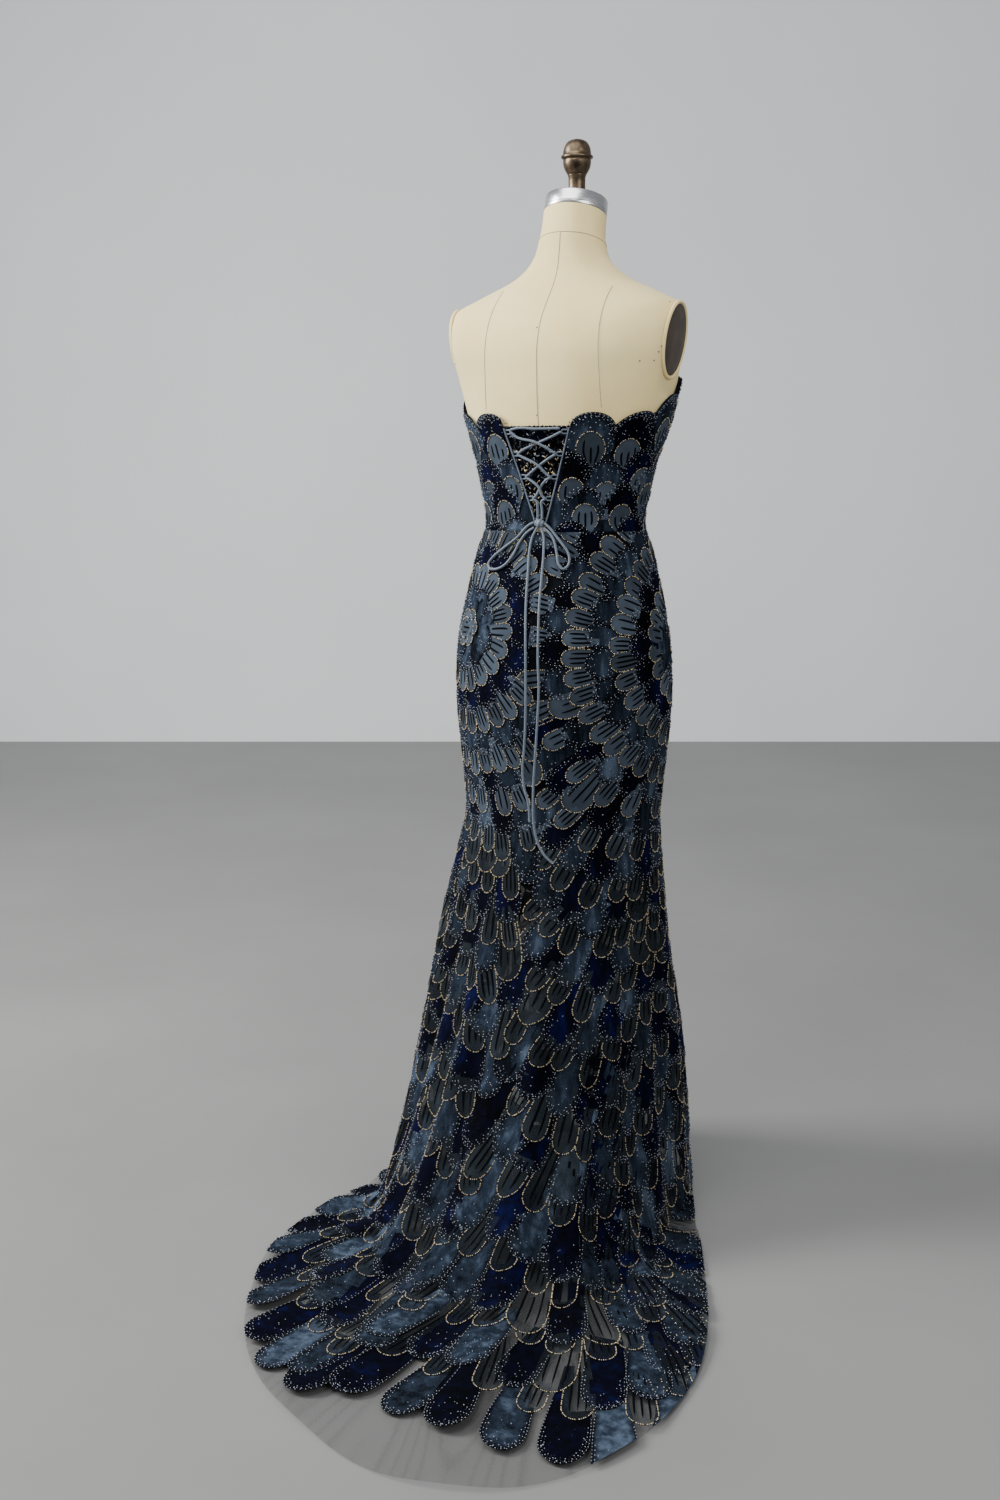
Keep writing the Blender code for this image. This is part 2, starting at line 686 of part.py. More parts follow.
def cord_object(name, points, thickness, skin):
    data = bpy.data.curves.new(name, "CURVE")
    data.dimensions = "3D"
    data.bevel_depth = thickness / 2
    data.bevel_resolution = 2
    data.use_fill_caps = True
    spline = data.splines.new("POLY")
    spline.points.add(len(points) - 1)
    for place, point in zip(spline.points, points):
        place.co = (*point, 1.0)
    thing = bpy.data.objects.new(name, data)
    bpy.context.scene.collection.objects.link(thing)
    data.materials.append(skin)
    return thing


def on_back(x, height, off):
    """The point of the back at this x and height, so far outside the form."""
    return form_point(turn_of(x, height, off), height, off)


def make_loops(skin):
    """The cord loops along the laced edges, four on each side."""
    for rung, height in enumerate(RUNG_HEIGHTS):
        for side_name, side in (("left", 1), ("right", -1)):
            edge = lace_reach(height, side) - SEAM - LOOP_CORD / 2
            outline = [(edge, -LOOP_HALF)]
            for angle in np.linspace(-pi / 2, pi / 2, 6):
                outline.append((edge - LOOP_REACH + LOOP_HALF * (1 - cos(angle)), LOOP_HALF * sin(angle)))
            outline.append((edge, LOOP_HALF))
            route = [on_back(side * x, height + up, LOOP_OUT) for x, up in outline]
            cord_object(f"lace_loop_{side_name}_{rung + 1}", route, LOOP_CORD, skin)


def lacing_route(side, with_bar):
    """One strand of the lacing, bend by bend, from the top rung down to the knot."""
    route = []
    if with_bar:
        height = RUNG_HEIGHTS[0] + BAR_RISE
        far = lace_reach(height, -side) - BEND_FROM_EDGE
        near = lace_reach(height, side) - BEND_FROM_EDGE
        route.append(on_back(-side * (far - BAR_FAR), height, OVER_LOOP))
        route.append(on_back(0.0, height - BAR_SAG, OVER_LOOP))
        route.append(on_back(side * (near - BAR_NEAR), height, OVER_LOOP))
        route.append(on_back(side * (near - BAR_TURN[0]), height - BAR_TURN[1], OVER_LOOP))
    for rung, height in enumerate(RUNG_HEIGHTS):
        bend = lace_reach(height, side) - BEND_FROM_EDGE
        if rung:
            route.append(on_back(side * (bend - BEND_BEFORE[0]), height + BEND_BEFORE[1], OVER_LOOP))
        if rung or not with_bar:
            route.append(on_back(side * bend, height - BEND_SINK, OVER_LOOP))
        route.append(on_back(side * (bend - BEND_AFTER[0]), height - BEND_AFTER[1], OVER_LOOP))
        if height != RUNG_HEIGHTS[-1]:
            crossing_z = (height + RUNG_HEIGHTS[rung + 1]) / 2
            off = CROSS_HIGH if side > 0 else CROSS_LOW
            route.append(on_back(0.0, crossing_z, off))
        side = -side
    for height in ((RUNG_HEIGHTS[-1] + KNOT_Z) / 2, KNOT_Z + KNOT_HALF[2]):
        route.append(on_back(-side * LACING_END_X, height, OVER_LOOP))
    return route


def make_lacing(skin):
    cord_object("lacing_first", curve_through(lacing_route(1, True), CORD_STEP), CORD, skin)
    cord_object("lacing_second", curve_through(lacing_route(-1, False), CORD_STEP), CORD, skin)


def hanging(x, height):
    """A point of a loose end: on the cloth down to the hip, then straight down from it."""
    return on_back(x, max(height, HANG_Z), ON_CLOTH) * np.array((1, 1, 0)) + np.array((0, 0, height))


def make_bow(skin):
    centre = on_back(0.0, KNOT_Z, KNOT_OFF)
    levels, sides = 6, 12
    rings = [[centre - np.array((0, 0, KNOT_HALF[2]))]]
    for step in range(1, levels):
        level = pi * step / levels - pi / 2
        ring = []
        for side in range(sides):
            angle = 2 * pi * side / sides
            size = np.array((cos(level) * cos(angle), cos(level) * sin(angle), sin(level)))
            ring.append(centre + size * np.array(KNOT_HALF))
        rings.append(ring)
    rings.append([centre + np.array((0, 0, KNOT_HALF[2]))])
    ring_object("bow_knot", rings, skin)
    for name, route in (("bow_loop_left", LOOP_LEFT), ("bow_loop_right", LOOP_RIGHT)):
        points = [on_back(x, z, BOW_OFF) for x, z in route]
        cord_object(name, curve_through(points, CORD_STEP), CORD, skin)
    for name, route in (("tail_left", TAIL_LEFT), ("tail_right", TAIL_RIGHT)):
        points = [hanging(x, z) for x, z in route]
        cord_object(name, curve_through(points, CORD_STEP), CORD, skin)


def main():
    clear_scene()
    cord_skin = material("lacing_cord", (0.17, 0.22, 0.30), 0.6)
    make_skirt()
    make_bodice()
    make_modesty_panel()
    make_torso()
    make_arm_plates()
    make_cap_and_knob()
    make_stand()
    make_loops(cord_skin)
    make_lacing(cord_skin)
    make_bow(cord_skin)


main()
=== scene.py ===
"""The finish of the evening dress on its dress form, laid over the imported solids, in metres.

The cloth is read from the same tables as the solids, at a finer spacing. The petals that cover it
are laid out by rule: rings round three centres at the hips that widen into rows down to the hem,
and rows that climb the bodice. Turns are in degrees: 0 is the centre back, 90 the wearer's left and
180 the centre front. Rows and columns are places on a cloth's grid, with fractions.
"""

from math import pi, radians, tan

import bpy
import numpy as np
from mathutils import Matrix, Vector


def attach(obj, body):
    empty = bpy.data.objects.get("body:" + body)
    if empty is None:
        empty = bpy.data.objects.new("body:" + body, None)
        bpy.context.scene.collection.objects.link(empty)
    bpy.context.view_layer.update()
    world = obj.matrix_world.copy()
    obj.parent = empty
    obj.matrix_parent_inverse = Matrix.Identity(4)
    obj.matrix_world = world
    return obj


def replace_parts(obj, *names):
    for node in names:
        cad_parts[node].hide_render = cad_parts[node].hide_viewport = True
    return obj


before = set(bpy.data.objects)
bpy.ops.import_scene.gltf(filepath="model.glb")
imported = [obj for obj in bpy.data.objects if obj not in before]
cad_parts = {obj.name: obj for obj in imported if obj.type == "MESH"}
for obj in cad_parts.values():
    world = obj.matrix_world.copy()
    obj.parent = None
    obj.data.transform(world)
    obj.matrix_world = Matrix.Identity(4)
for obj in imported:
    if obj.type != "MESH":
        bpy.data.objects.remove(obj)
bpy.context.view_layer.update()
rng = np.random.default_rng(11)

# Sizes shared with the solids: cloth, its room over the form, and heights
CLOTH = 0.0018
SEAM = 0.0003
CLOSE_GAP = 0.0004
BODICE_GAP = 0.0023
BACK_GAP = 0.0005
BODICE_GAP_FROM_Z = 0.94
BODICE_GAP_RISE = 0.09
BACK_GAP_FROM_Z = 0.90
BACK_GAP_RISE = 0.12
WAIST_Z = 1.037
KNEE_Z = 0.60
NECK_SEAM_Z = 1.457
NECK_TOP_Z = 1.500
# The form's level sections: height, half width, depth behind and before the axis, centre's y
FORM_SECTIONS = (
    (0.560, 0.152, 0.119, 0.106, 0.000),
    (0.600, 0.150, 0.118, 0.105, 0.000),
    (0.650, 0.154, 0.120, 0.105, 0.000),
    (0.700, 0.159, 0.125, 0.106, 0.000),
    (0.760, 0.165, 0.132, 0.108, 0.000),
    (0.820, 0.166, 0.136, 0.110, 0.000),
    (0.870, 0.163, 0.133, 0.111, 0.000),
    (0.916, 0.155, 0.124, 0.109, 0.000),
    (0.962, 0.144, 0.111, 0.105, 0.000),
    (1.007, 0.131, 0.098, 0.099, 0.000),
    (1.045, 0.118, 0.089, 0.094, 0.000),
    (1.097, 0.125, 0.090, 0.099, 0.000),
    (1.142, 0.135, 0.095, 0.108, 0.000),
    (1.186, 0.148, 0.102, 0.120, 0.000),
    (1.230, 0.160, 0.107, 0.126, 0.000),
    (1.262, 0.170, 0.109, 0.123, 0.000),
    (1.310, 0.186, 0.107, 0.112, 0.000),
    (1.343, 0.187, 0.097, 0.096, -0.004),
    (1.366, 0.175, 0.084, 0.080, -0.010),
    (1.377, 0.152, 0.077, 0.073, -0.013),
    (1.389, 0.126, 0.069, 0.067, -0.016),
    (1.400, 0.101, 0.063, 0.061, -0.018),
    (1.412, 0.080, 0.057, 0.056, -0.020),
    (1.430, 0.061, 0.052, 0.051, -0.022),
    (1.457, 0.0505, 0.048, 0.047, -0.023),
    (1.505, 0.0465, 0.045, 0.045, -0.032),
    (1.540, 0.0450, 0.043, 0.043, -0.037),
)
# The form's two soft bust rises, its flat arm ends, its tilted neck and the cap
BUST_TURN = 139.0
BUST_Z = 1.215
BUST_RISE = 0.017
BUST_SPREAD_TURN = 25.0
BUST_SPREAD_Z = 0.060
ARM_LOW_Z = 1.258
ARM_HIGH_Z = 1.368
ARM_LOW_X = 0.159
ARM_LEAN = radians(8.3)
ARM_WIDTH = 0.094
ARM_HEIGHT = 0.112
ARM_PLATE = 0.004
ARM_CENTRE_Y = -0.002
ARM_CUT_FROM_Z = 1.23
NECK_LEAN = radians(15.0)
NECK_LEAN_FROM_Z = 1.40
CAP_RADIUS = 0.047
CAP_HEIGHT = 0.023
# Neckline: each scallop's ends as turns, their heights, and how far each scallop rises between
SCALLOP_TURNS = (17.5, 45.5, 75.0, 103.0, 129.0, 154.5, 180.0)
SCALLOP_HEIGHTS = (1.187, 1.185, 1.200, 1.229, 1.256, 1.268, 1.258)
SCALLOP_RISES = (0.023, 0.017, 0.018, 0.019, 0.020, 0.020)
# The laced opening: how far each edge is from the centre, low and high, and the panel behind it
LACE_LOW_Z = 1.052
LACE_HIGH_Z = 1.187
LACE_LOW_REACH = 0.0085
LACE_HIGH_LEFT = 0.0565
LACE_HIGH_RIGHT = 0.0480
MODESTY_HIGH_Z = 1.190
MODESTY_LOW_Z = 1.046
MODESTY_LAP = 0.026
MODESTY_GAP = 0.0006
MODESTY_CLOTH = 0.0013
# Where the skirt's wall would meet the floor, and its curve from the knee on
FOOT_LEFT = 0.244
FOOT_RIGHT = 0.206
FOOT_BACK = 0.280
FOOT_FRONT = 0.186
KNEE_DROP = 0.15
KNEE_FLARE = 0.175
TOUCH_SHARE = 0.38
# How far the hem reaches from the axis: turn, radius
HEM_REACH = (
    (-180.0, 0.198),
    (-145.0, 0.200),
    (-115.0, 0.207),
    (-98.0, 0.216),
    (-83.0, 0.238),
    (-68.0, 0.289),
    (-51.0, 0.430),
    (-37.0, 0.652),
    (-29.0, 0.762),
    (-20.0, 0.838),
    (-10.0, 0.848),
    (0.0, 0.790),
    (12.0, 0.700),
    (24.0, 0.590),
    (38.0, 0.470),
    (52.0, 0.340),
    (66.0, 0.284),
    (83.0, 0.260),
    (98.0, 0.246),
    (115.0, 0.228),
    (145.0, 0.206),
    (180.0, 0.198),
)
# Soft folds: turn, half spread, rise over the valleys, where each starts between knee and hem
FOLDS = (
    (-166.0, 9.0, 0.010, 0.30),
    (-139.0, 10.0, 0.013, 0.12),
    (-112.0, 8.5, 0.011, 0.22),
    (-86.0, 8.0, 0.014, 0.10),
    (-63.0, 6.5, 0.012, 0.20),
    (-45.0, 5.5, 0.015, 0.06),
    (-29.0, 5.0, 0.013, 0.14),
    (-14.0, 5.0, 0.016, 0.04),
    (2.0, 5.0, 0.014, 0.16),
    (17.0, 5.0, 0.018, 0.02),
    (32.0, 5.5, 0.015, 0.10),
    (48.0, 6.0, 0.019, 0.03),
    (66.0, 7.0, 0.016, -0.10),
    (88.0, 8.0, 0.016, -0.12),
    (114.0, 9.0, 0.012, 0.20),
    (141.0, 9.5, 0.014, 0.10),
    (168.0, 9.0, 0.010, 0.26),
)
FOLD_GROWTH = 0.40
FOLD_FLAT_FROM = 0.62
FOLD_FLAT_LOSS = 0.55
# How many rows the solids have above and below the knee
SOLID_UPPER_ROWS = 8
SOLID_LOWER_ROWS = 13
# Lacing, bow and loose ends; their routes are seen from behind: x to the wearer's left, height
CORD = 0.0036
LOOP_CORD = 0.0022
LOOP_REACH = 0.0085
LOOP_HALF = 0.0028
LOOP_OUT = 0.0036
OVER_LOOP = 0.0070
CROSS_LOW = 0.0043
CROSS_HIGH = 0.0084
BAR_RISE = 0.0046
BAR_FAR = 0.003
BAR_NEAR = 0.010
BAR_TURN = (0.002, 0.0024)
BAR_SAG = 0.0005
RUNG_HEIGHTS = (1.1815, 1.1500, 1.1170, 1.0860)
BEND_FROM_EDGE = 0.0095
BEND_BEFORE = (0.004, 0.0026)
BEND_AFTER = (0.005, 0.0030)
BEND_SINK = 0.0004
LACING_END_X = 0.0035
KNOT_Z = 1.0500
KNOT_HALF = (0.0078, 0.0046, 0.0064)
KNOT_OFF = 0.0080
ON_CLOTH = 0.0082
BOW_OFF = 0.0094
LOOP_LEFT = (
    (0.0087, 1.0514), (0.0152, 1.0486), (0.0363, 1.0290), (0.0619, 1.0112), (0.0800, 0.9975),
    (0.0862, 0.9895), (0.0826, 0.9832), (0.0736, 0.9819), (0.0549, 0.9876), (0.0391, 1.0049),
    (0.0310, 1.0219), (0.0190, 1.0372), (0.0082, 1.0440),
)
LOOP_RIGHT = (
    (-0.0087, 1.0507), (-0.0192, 1.0419), (-0.0277, 1.0325), (-0.0385, 1.0207),
    (-0.0479, 1.0090), (-0.0512, 0.9985), (-0.0496, 0.9895), (-0.0438, 0.9854),
    (-0.0375, 0.9905), (-0.0313, 1.0088), (-0.0250, 1.0262), (-0.0172, 1.0368),
    (-0.0082, 1.0432),
)
TAIL_LEFT = (
    (0.0034, 1.0438), (0.0100, 1.0300), (0.0122, 1.0130), (0.0108, 0.9830), (0.0078, 0.9360),
    (0.0035, 0.8900), (0.0008, 0.8500), (0.0000, 0.8100), (0.0006, 0.7600), (0.0028, 0.7180),
    (0.0050, 0.6920), (0.0018, 0.6640), (-0.0050, 0.6400), (-0.0070, 0.6140),
)
TAIL_RIGHT = (
    (-0.0034, 1.0438), (-0.0080, 1.0320), (-0.0106, 1.0120), (-0.0122, 0.9760),
    (-0.0134, 0.9400), (-0.0160, 0.9000), (-0.0186, 0.8500), (-0.0205, 0.8150),
    (-0.0185, 0.7650), (-0.0150, 0.7080), (-0.0125, 0.6650), (-0.0122, 0.6380),
    (-0.0135, 0.6112), (-0.0218, 0.5790), (-0.0330, 0.5625), (-0.0428, 0.5543),
)
HANG_Z = 0.83

# Camera: eye, heading from +X, tilt down, lens for a 36 mm sensor
EYE = (-0.976, 2.326, 1.130)
LOOK = (0.4226, -0.9063)
TILT = radians(9.7)
LENS = 39.6

# Spacing of the cloth's grids: rows above and below the knee, rows of the bodice
UPPER, LOWER = 60, 120
BODICE_TOP_Z = 1.300
BODICE_ROWS = 60
CURVE_STEPS = 60
# The skirt's lining: where it ends and over how much height; then a share of painted shade between there and
# the floor, which makes the net denser where shade falls inside the skirt
LINED_FROM_Z = 0.46
LINED_RISE = 0.18
PAINTED_SHADE_SHARE = 0.52
SHEER_BELOW_Z = 0.02
SHEER_RISE = 0.14

# Petal layout on the skirt: a centre's turn and height, and the turns between which its petals lie
FOCI = (
    (-105.0, 0.872, -182.0, 3.0),
    (47.0, 0.895, 3.0, 97.0),
    (140.0, 0.880, 97.0, 178.0),
)
ROUND_REACH = 0.150
FIRST_RING = 0.070
# Distance from the centre: space between velvet rings, between their petals, widths of a velvet
# and of a net petal, and how far the net petals' tips lie inside the velvet ones'
PETAL_SIZES = (
    (0.00, 0.0685, 0.047, 0.052, 0.031, 0.036),
    (0.35, 0.0700, 0.043, 0.046, 0.029, 0.034),
    (0.60, 0.0920, 0.045, 0.047, 0.029, 0.048),
    (0.90, 0.1220, 0.053, 0.051, 0.033, 0.072),
    (1.20, 0.1380, 0.070, 0.058, 0.038, 0.094),
    (1.50, 0.1450, 0.084, 0.062, 0.041, 0.102),
)
VELVET_LONG = 1.75
NET_LONG = 1.45
NET_SPACING = 1.07
OWN_NET_PLACES_WITHIN = 0.30
PAST_EDGE_NEAR = 11.0
PAST_EDGE_FAR = 4.0
# Bare tulle at the train's end, and the stretch where the hem cuts through the petals
BARE_EDGE = 0.080
BARE_TURN = -9.0
BARE_SPREAD = 11.0
CUT_PAST = 0.110
CUT_TURNS = (-92.0, -21.0)
CUT_BLENDS = (14.0, 10.0)
# Rows of petals on the bodice: depth below the neckline, length, and share of a scallop's width
BODICE_VELVET = (
    (0.000, 0.072, 1.12),
    (0.052, 0.070, 1.10),
    (0.100, 0.066, 1.14),
    (0.146, 0.060, 1.16),
    (0.190, 0.056, 1.16),
)
BODICE_NET = (
    (0.031, 0.056, 0.68),
    (0.083, 0.056, 0.72),
    (0.128, 0.050, 0.74),
    (0.172, 0.046, 0.74),
    (0.212, 0.040, 0.74),
)
# The bodice's girth by height, as a radius
BODICE_ROUND = ((1.037, 1.10, 1.20, 1.26), (0.108, 0.116, 0.140, 0.150))
SCALLOP_SPAN = radians(27.2)
SLATE, NAVY, MESH = 0, 1, 2
# How many half widths long a petal's round end is, and the most of its length that it takes
TIP_ROUNDNESS = 1.25
TIP_MOST = 0.62
# Stations along a petal when it is laid, and along its straight part, its round end and across it
STATIONS = np.linspace(0.0, 1.0, 41)
MESH_BODY = np.array((0.0, 0.25, 0.50, 0.70, 0.86, 1.0))
MESH_TIP = np.array((0.28, 0.54, 0.76, 0.92, 0.985, 1.0))
MESH_U = np.array((-1.0, -0.90, -0.66, -0.33, 0.0, 0.33, 0.66, 0.90, 1.0))
# Small cells that tell which petal is on top: to a row and to a degree
CELLS_ROW, CELLS_TURN = 4, 5

# Rows of beads round a petal's end: spacing, distance from the edge, where along it they start
CHAIN_ROW = (0.0027, 0.0008, 0.55)
RIM_ROWS = (
    (0.0034, 0.0012, 0.60),
    (0.0047, 0.0046, 0.86),
    (0.0060, 0.0085, 0.94),
)
# Rows of beads along the neckline: distance from the edge, spacing; and how far out they sit
NECKLINE_ROWS = ((0.0022, 0.0031), (0.0062, 0.0042))
NECKLINE_BEADS_OUT = 0.0021
LOOSE_BEADS_PER_AREA = 8200.0
RIB_HALF = 0.00145
RIB_RISE = 0.0006

# Seams and pin marks of the form's linen: side offsets and heights on its back
PRINCESS_X = (0.091, 0.086)
PRINCESS_Z = (1.215, 1.388)
PIN_HOLES = (
    (0.0033, 1.328), (0.0013, 1.205), (-0.1681, 1.301), (-0.1632, 1.293), (-0.1571, 1.281),
    (-0.1411, 1.280), (-0.1682, 1.364), (-0.1735, 1.349), (0.1670, 1.299), (0.1615, 1.284),
)
PIN_MARK = 0.0016
# Arm boards and the linen turned over round them: distance off the form, inset from the oval
ARM_BOARD = (
    (SEAM, 0.0050), (0.0030, 0.0050), (0.0036, 0.0058), (0.0038, 0.0080), (0.0046, 0.0200),
    (0.0050, 0.0330),
)
ARM_RIM = (
    (SEAM, 0.0), (0.0028, -0.0002), (0.0044, 0.0008), (0.0050, 0.0022), (0.0045, 0.0038),
    (0.0030, 0.0049), (SEAM, 0.0049),
)
# The cap's and the knob's outlines from their undersides up: height, radius
CAP_OUTLINE = (
    (SEAM, CAP_RADIUS - 0.0014), (0.0008, CAP_RADIUS - 0.0004), (0.0016, CAP_RADIUS),
    (0.0050, CAP_RADIUS), (0.0054, CAP_RADIUS - 0.0004), (0.0058, CAP_RADIUS),
    (CAP_HEIGHT - 0.0018, CAP_RADIUS), (CAP_HEIGHT - 0.0006, CAP_RADIUS - 0.0006),
    (CAP_HEIGHT, CAP_RADIUS - 0.0020), (CAP_HEIGHT, CAP_RADIUS - 0.0100),
)
KNOB_OUTLINE = (
    (0.0000, 0.0150), (0.0018, 0.0148), (0.0030, 0.0131), (0.0060, 0.0128), (0.0180, 0.0126),
    (0.0280, 0.0128), (0.0300, 0.0138), (0.0315, 0.0138), (0.0325, 0.0146), (0.0360, 0.0168),
    (0.0400, 0.0189), (0.0440, 0.0202), (0.0480, 0.0208), (0.0520, 0.0209), (0.0530, 0.0203),
    (0.0540, 0.0208), (0.0550, 0.0234), (0.0560, 0.0238), (0.0575, 0.0238), (0.0585, 0.0233),
    (0.0592, 0.0216), (0.0600, 0.0210), (0.0640, 0.0207), (0.0690, 0.0197), (0.0730, 0.0182),
    (0.0765, 0.0160), (0.0790, 0.0132), (0.0808, 0.0095), (0.0820, 0.0050), (0.0825, 0.0),
)

# Backdrop: distance from the axis, half width, height
BACKDROP = (4.3, 9.0, 6.0)


# Curves, tables and the form's surface

def smooth(table, at):
    """Reads a table whose first column rises, by a cubic curve through its rows."""
    rows = np.array(table, float)
    keys, values = rows[:, 0], rows[:, 1:]
    at = np.clip(np.asarray(at, float), keys[0], keys[-1])
    low = np.clip(np.searchsorted(keys, at) - 1, 0, len(keys) - 2)
    slopes = np.gradient(values, keys, axis=0)
    span = keys[low + 1] - keys[low]
    share = ((at - keys[low]) / span)[..., None]
    span = span[..., None]
    rest = 1.0 - share
    return (
        (1 + 2 * share) * rest * rest * values[low]
        + share * rest * rest * span * slopes[low]
        + share * share * (3 - 2 * share) * values[low + 1]
        - share * share * rest * span * slopes[low + 1]
    )


def ease(value):
    value = np.clip(value, 0.0, 1.0)
    return value * value * (3 - 2 * value)


def wrap(turn):
    return (turn + 180.0) % 360.0 - 180.0


def unit(vectors):
    return vectors / np.maximum(np.linalg.norm(vectors, axis=-1, keepdims=True), 1e-12)


def lengths_along(points):
    """The running length down the rows of points, from 0."""
    steps = np.linalg.norm(np.diff(points, axis=0), axis=-1)
    return np.concatenate((np.zeros((1, *steps.shape[1:])), np.cumsum(steps, axis=0)))


def form_points(turn, height, out=0.0):
    """Points on the form, or so far outside it, at these turns and heights."""
    turn, height, out = np.broadcast_arrays(np.asarray(turn, float), height, out)
    half, back, front, centre = np.moveaxis(smooth(FORM_SECTIONS, height), -1, 0)
    side, behind = np.sin(np.radians(turn)), np.cos(np.radians(turn))
    depth = np.where(behind > 0, back, front)
    off_bust = (np.abs(wrap(turn)) - BUST_TURN) / BUST_SPREAD_TURN
    bust = BUST_RISE * np.exp(-(off_bust**2) - ((height - BUST_Z) / BUST_SPREAD_Z) ** 2)
    across = unit(np.stack((side * depth, behind * half), -1))
    x = half * side + (bust + out) * across[..., 0]
    y = centre + depth * behind + (bust + out) * across[..., 1]
    return np.stack((x, y, height + 0.0 * x), -1)


def turn_of(x, height, out=0.0):
    return np.degrees(np.arcsin(x / (smooth(FORM_SECTIONS, height)[..., 0] + out)))


def form_surface(turn, height):
    """Points on the form's linen, with its cut-off arms and its leaning neck."""
    points = form_points(turn, height)
    limit = ARM_LOW_X + (points[..., 2] - ARM_LOW_Z) * tan(ARM_LEAN)
    above = points[..., 2] > ARM_CUT_FROM_Z
    points[..., 0] = np.where(above, np.clip(points[..., 0], -limit, limit), points[..., 0])
    leaning = ease((points[..., 2] - NECK_LEAN_FROM_Z) / (NECK_SEAM_Z - NECK_LEAN_FROM_Z))
    centre = smooth(FORM_SECTIONS, points[..., 2])[..., 3]
    points[..., 2] += leaning * tan(NECK_LEAN) * (points[..., 1] - centre)
    return points


def cloth_gap(turn, height):
    close = CLOSE_GAP + (BODICE_GAP - CLOSE_GAP) * ease((height - BODICE_GAP_FROM_Z) / BODICE_GAP_RISE)
    behind = ease(2.0 * np.cos(np.radians(turn)))
    return close + BACK_GAP * behind * ease((height - BACK_GAP_FROM_Z) / BACK_GAP_RISE)


def hem_reach(turn):
    return smooth(HEM_REACH, wrap(turn))[..., 0]


def lace_reach(height, side):
    share = np.clip((height - LACE_LOW_Z) / (LACE_HIGH_Z - LACE_LOW_Z), 0.0, 1.0)
    high = np.where(np.asarray(side) > 0, LACE_HIGH_LEFT, LACE_HIGH_RIGHT)
    return LACE_LOW_REACH + (high - LACE_LOW_REACH) * share


def neckline(turn):
    at = np.clip(np.abs(wrap(turn)), SCALLOP_TURNS[0], SCALLOP_TURNS[-1])
    lobe = np.clip(np.searchsorted(SCALLOP_TURNS, at, side="right") - 1, 0, len(SCALLOP_RISES) - 1)
    ends = np.array(SCALLOP_TURNS)
    share = (at - ends[lobe]) / (ends[lobe + 1] - ends[lobe])
    base = np.interp(at, SCALLOP_TURNS, SCALLOP_HEIGHTS)
    return base + np.array(SCALLOP_RISES)[lobe] * np.sqrt(np.maximum(1 - (2 * share - 1) ** 2, 0.0))


# Cloth surfaces

def lower_columns(turns, rows):
    """Underside points between knee and hem, evenly spaced along the cloth, rows by turns."""
    side = np.sin(np.radians(turns))
    behind = np.cos(np.radians(turns))
    zero = 0.0 * side
    knee = form_points(turns, KNEE_Z, cloth_gap(turns, KNEE_Z))
    foot_side = np.where(side > 0, FOOT_LEFT, FOOT_RIGHT)
    foot_depth = np.where(behind > 0, FOOT_BACK, FOOT_FRONT)
    foot = np.stack((foot_side * side, foot_depth * behind, zero), -1)
    hem = hem_reach(turns)[:, None] * np.stack((side, behind, zero), -1)
    touch = foot + TOUCH_SHARE * (hem - foot)
    below = knee + KNEE_FLARE * (foot - knee) * (1, 1, 0) - (0, 0, KNEE_DROP)
    share = np.linspace(0, 1, CURVE_STEPS)[:, None, None]
    rest = 1 - share
    curve = rest**3 * knee + 3 * rest**2 * share * below + 3 * rest * share**2 * foot + share**3 * touch
    path = np.concatenate((curve, touch + share[1:] * (hem - touch)))
    lengths = lengths_along(path)
    made = np.empty((rows + 1, len(turns), 3))
    for i in range(len(turns)):
        wanted = np.linspace(0, lengths[-1, i], rows + 1)
        for axis in range(3):
            made[:, i, axis] = np.interp(wanted, lengths[:, i], path[:, i, axis])
    return made


def fold_rise(turn, share):
    """How far the folds lift the cloth, at shares of the way from knee to hem."""
    rise = 0.0 * turn
    for fold_turn, spread, height, start in FOLDS:
        off = wrap(turn - fold_turn) / spread
        rise = rise + height * ease((share - start) / FOLD_GROWTH) * np.exp(-off * off)
    return rise * (1 - FOLD_FLAT_LOSS * ease((share - FOLD_FLAT_FROM) / (1 - FOLD_FLAT_FROM)))


def outward_normals(points):
    """Unit normals of a grid of points round the body, facing away from it."""
    normals = unit(np.cross(np.gradient(points, axis=1), np.gradient(points, axis=0)))
    centre_back = normals[5, points.shape[1] // 2]
    return -normals if centre_back[1] < 0 else normals


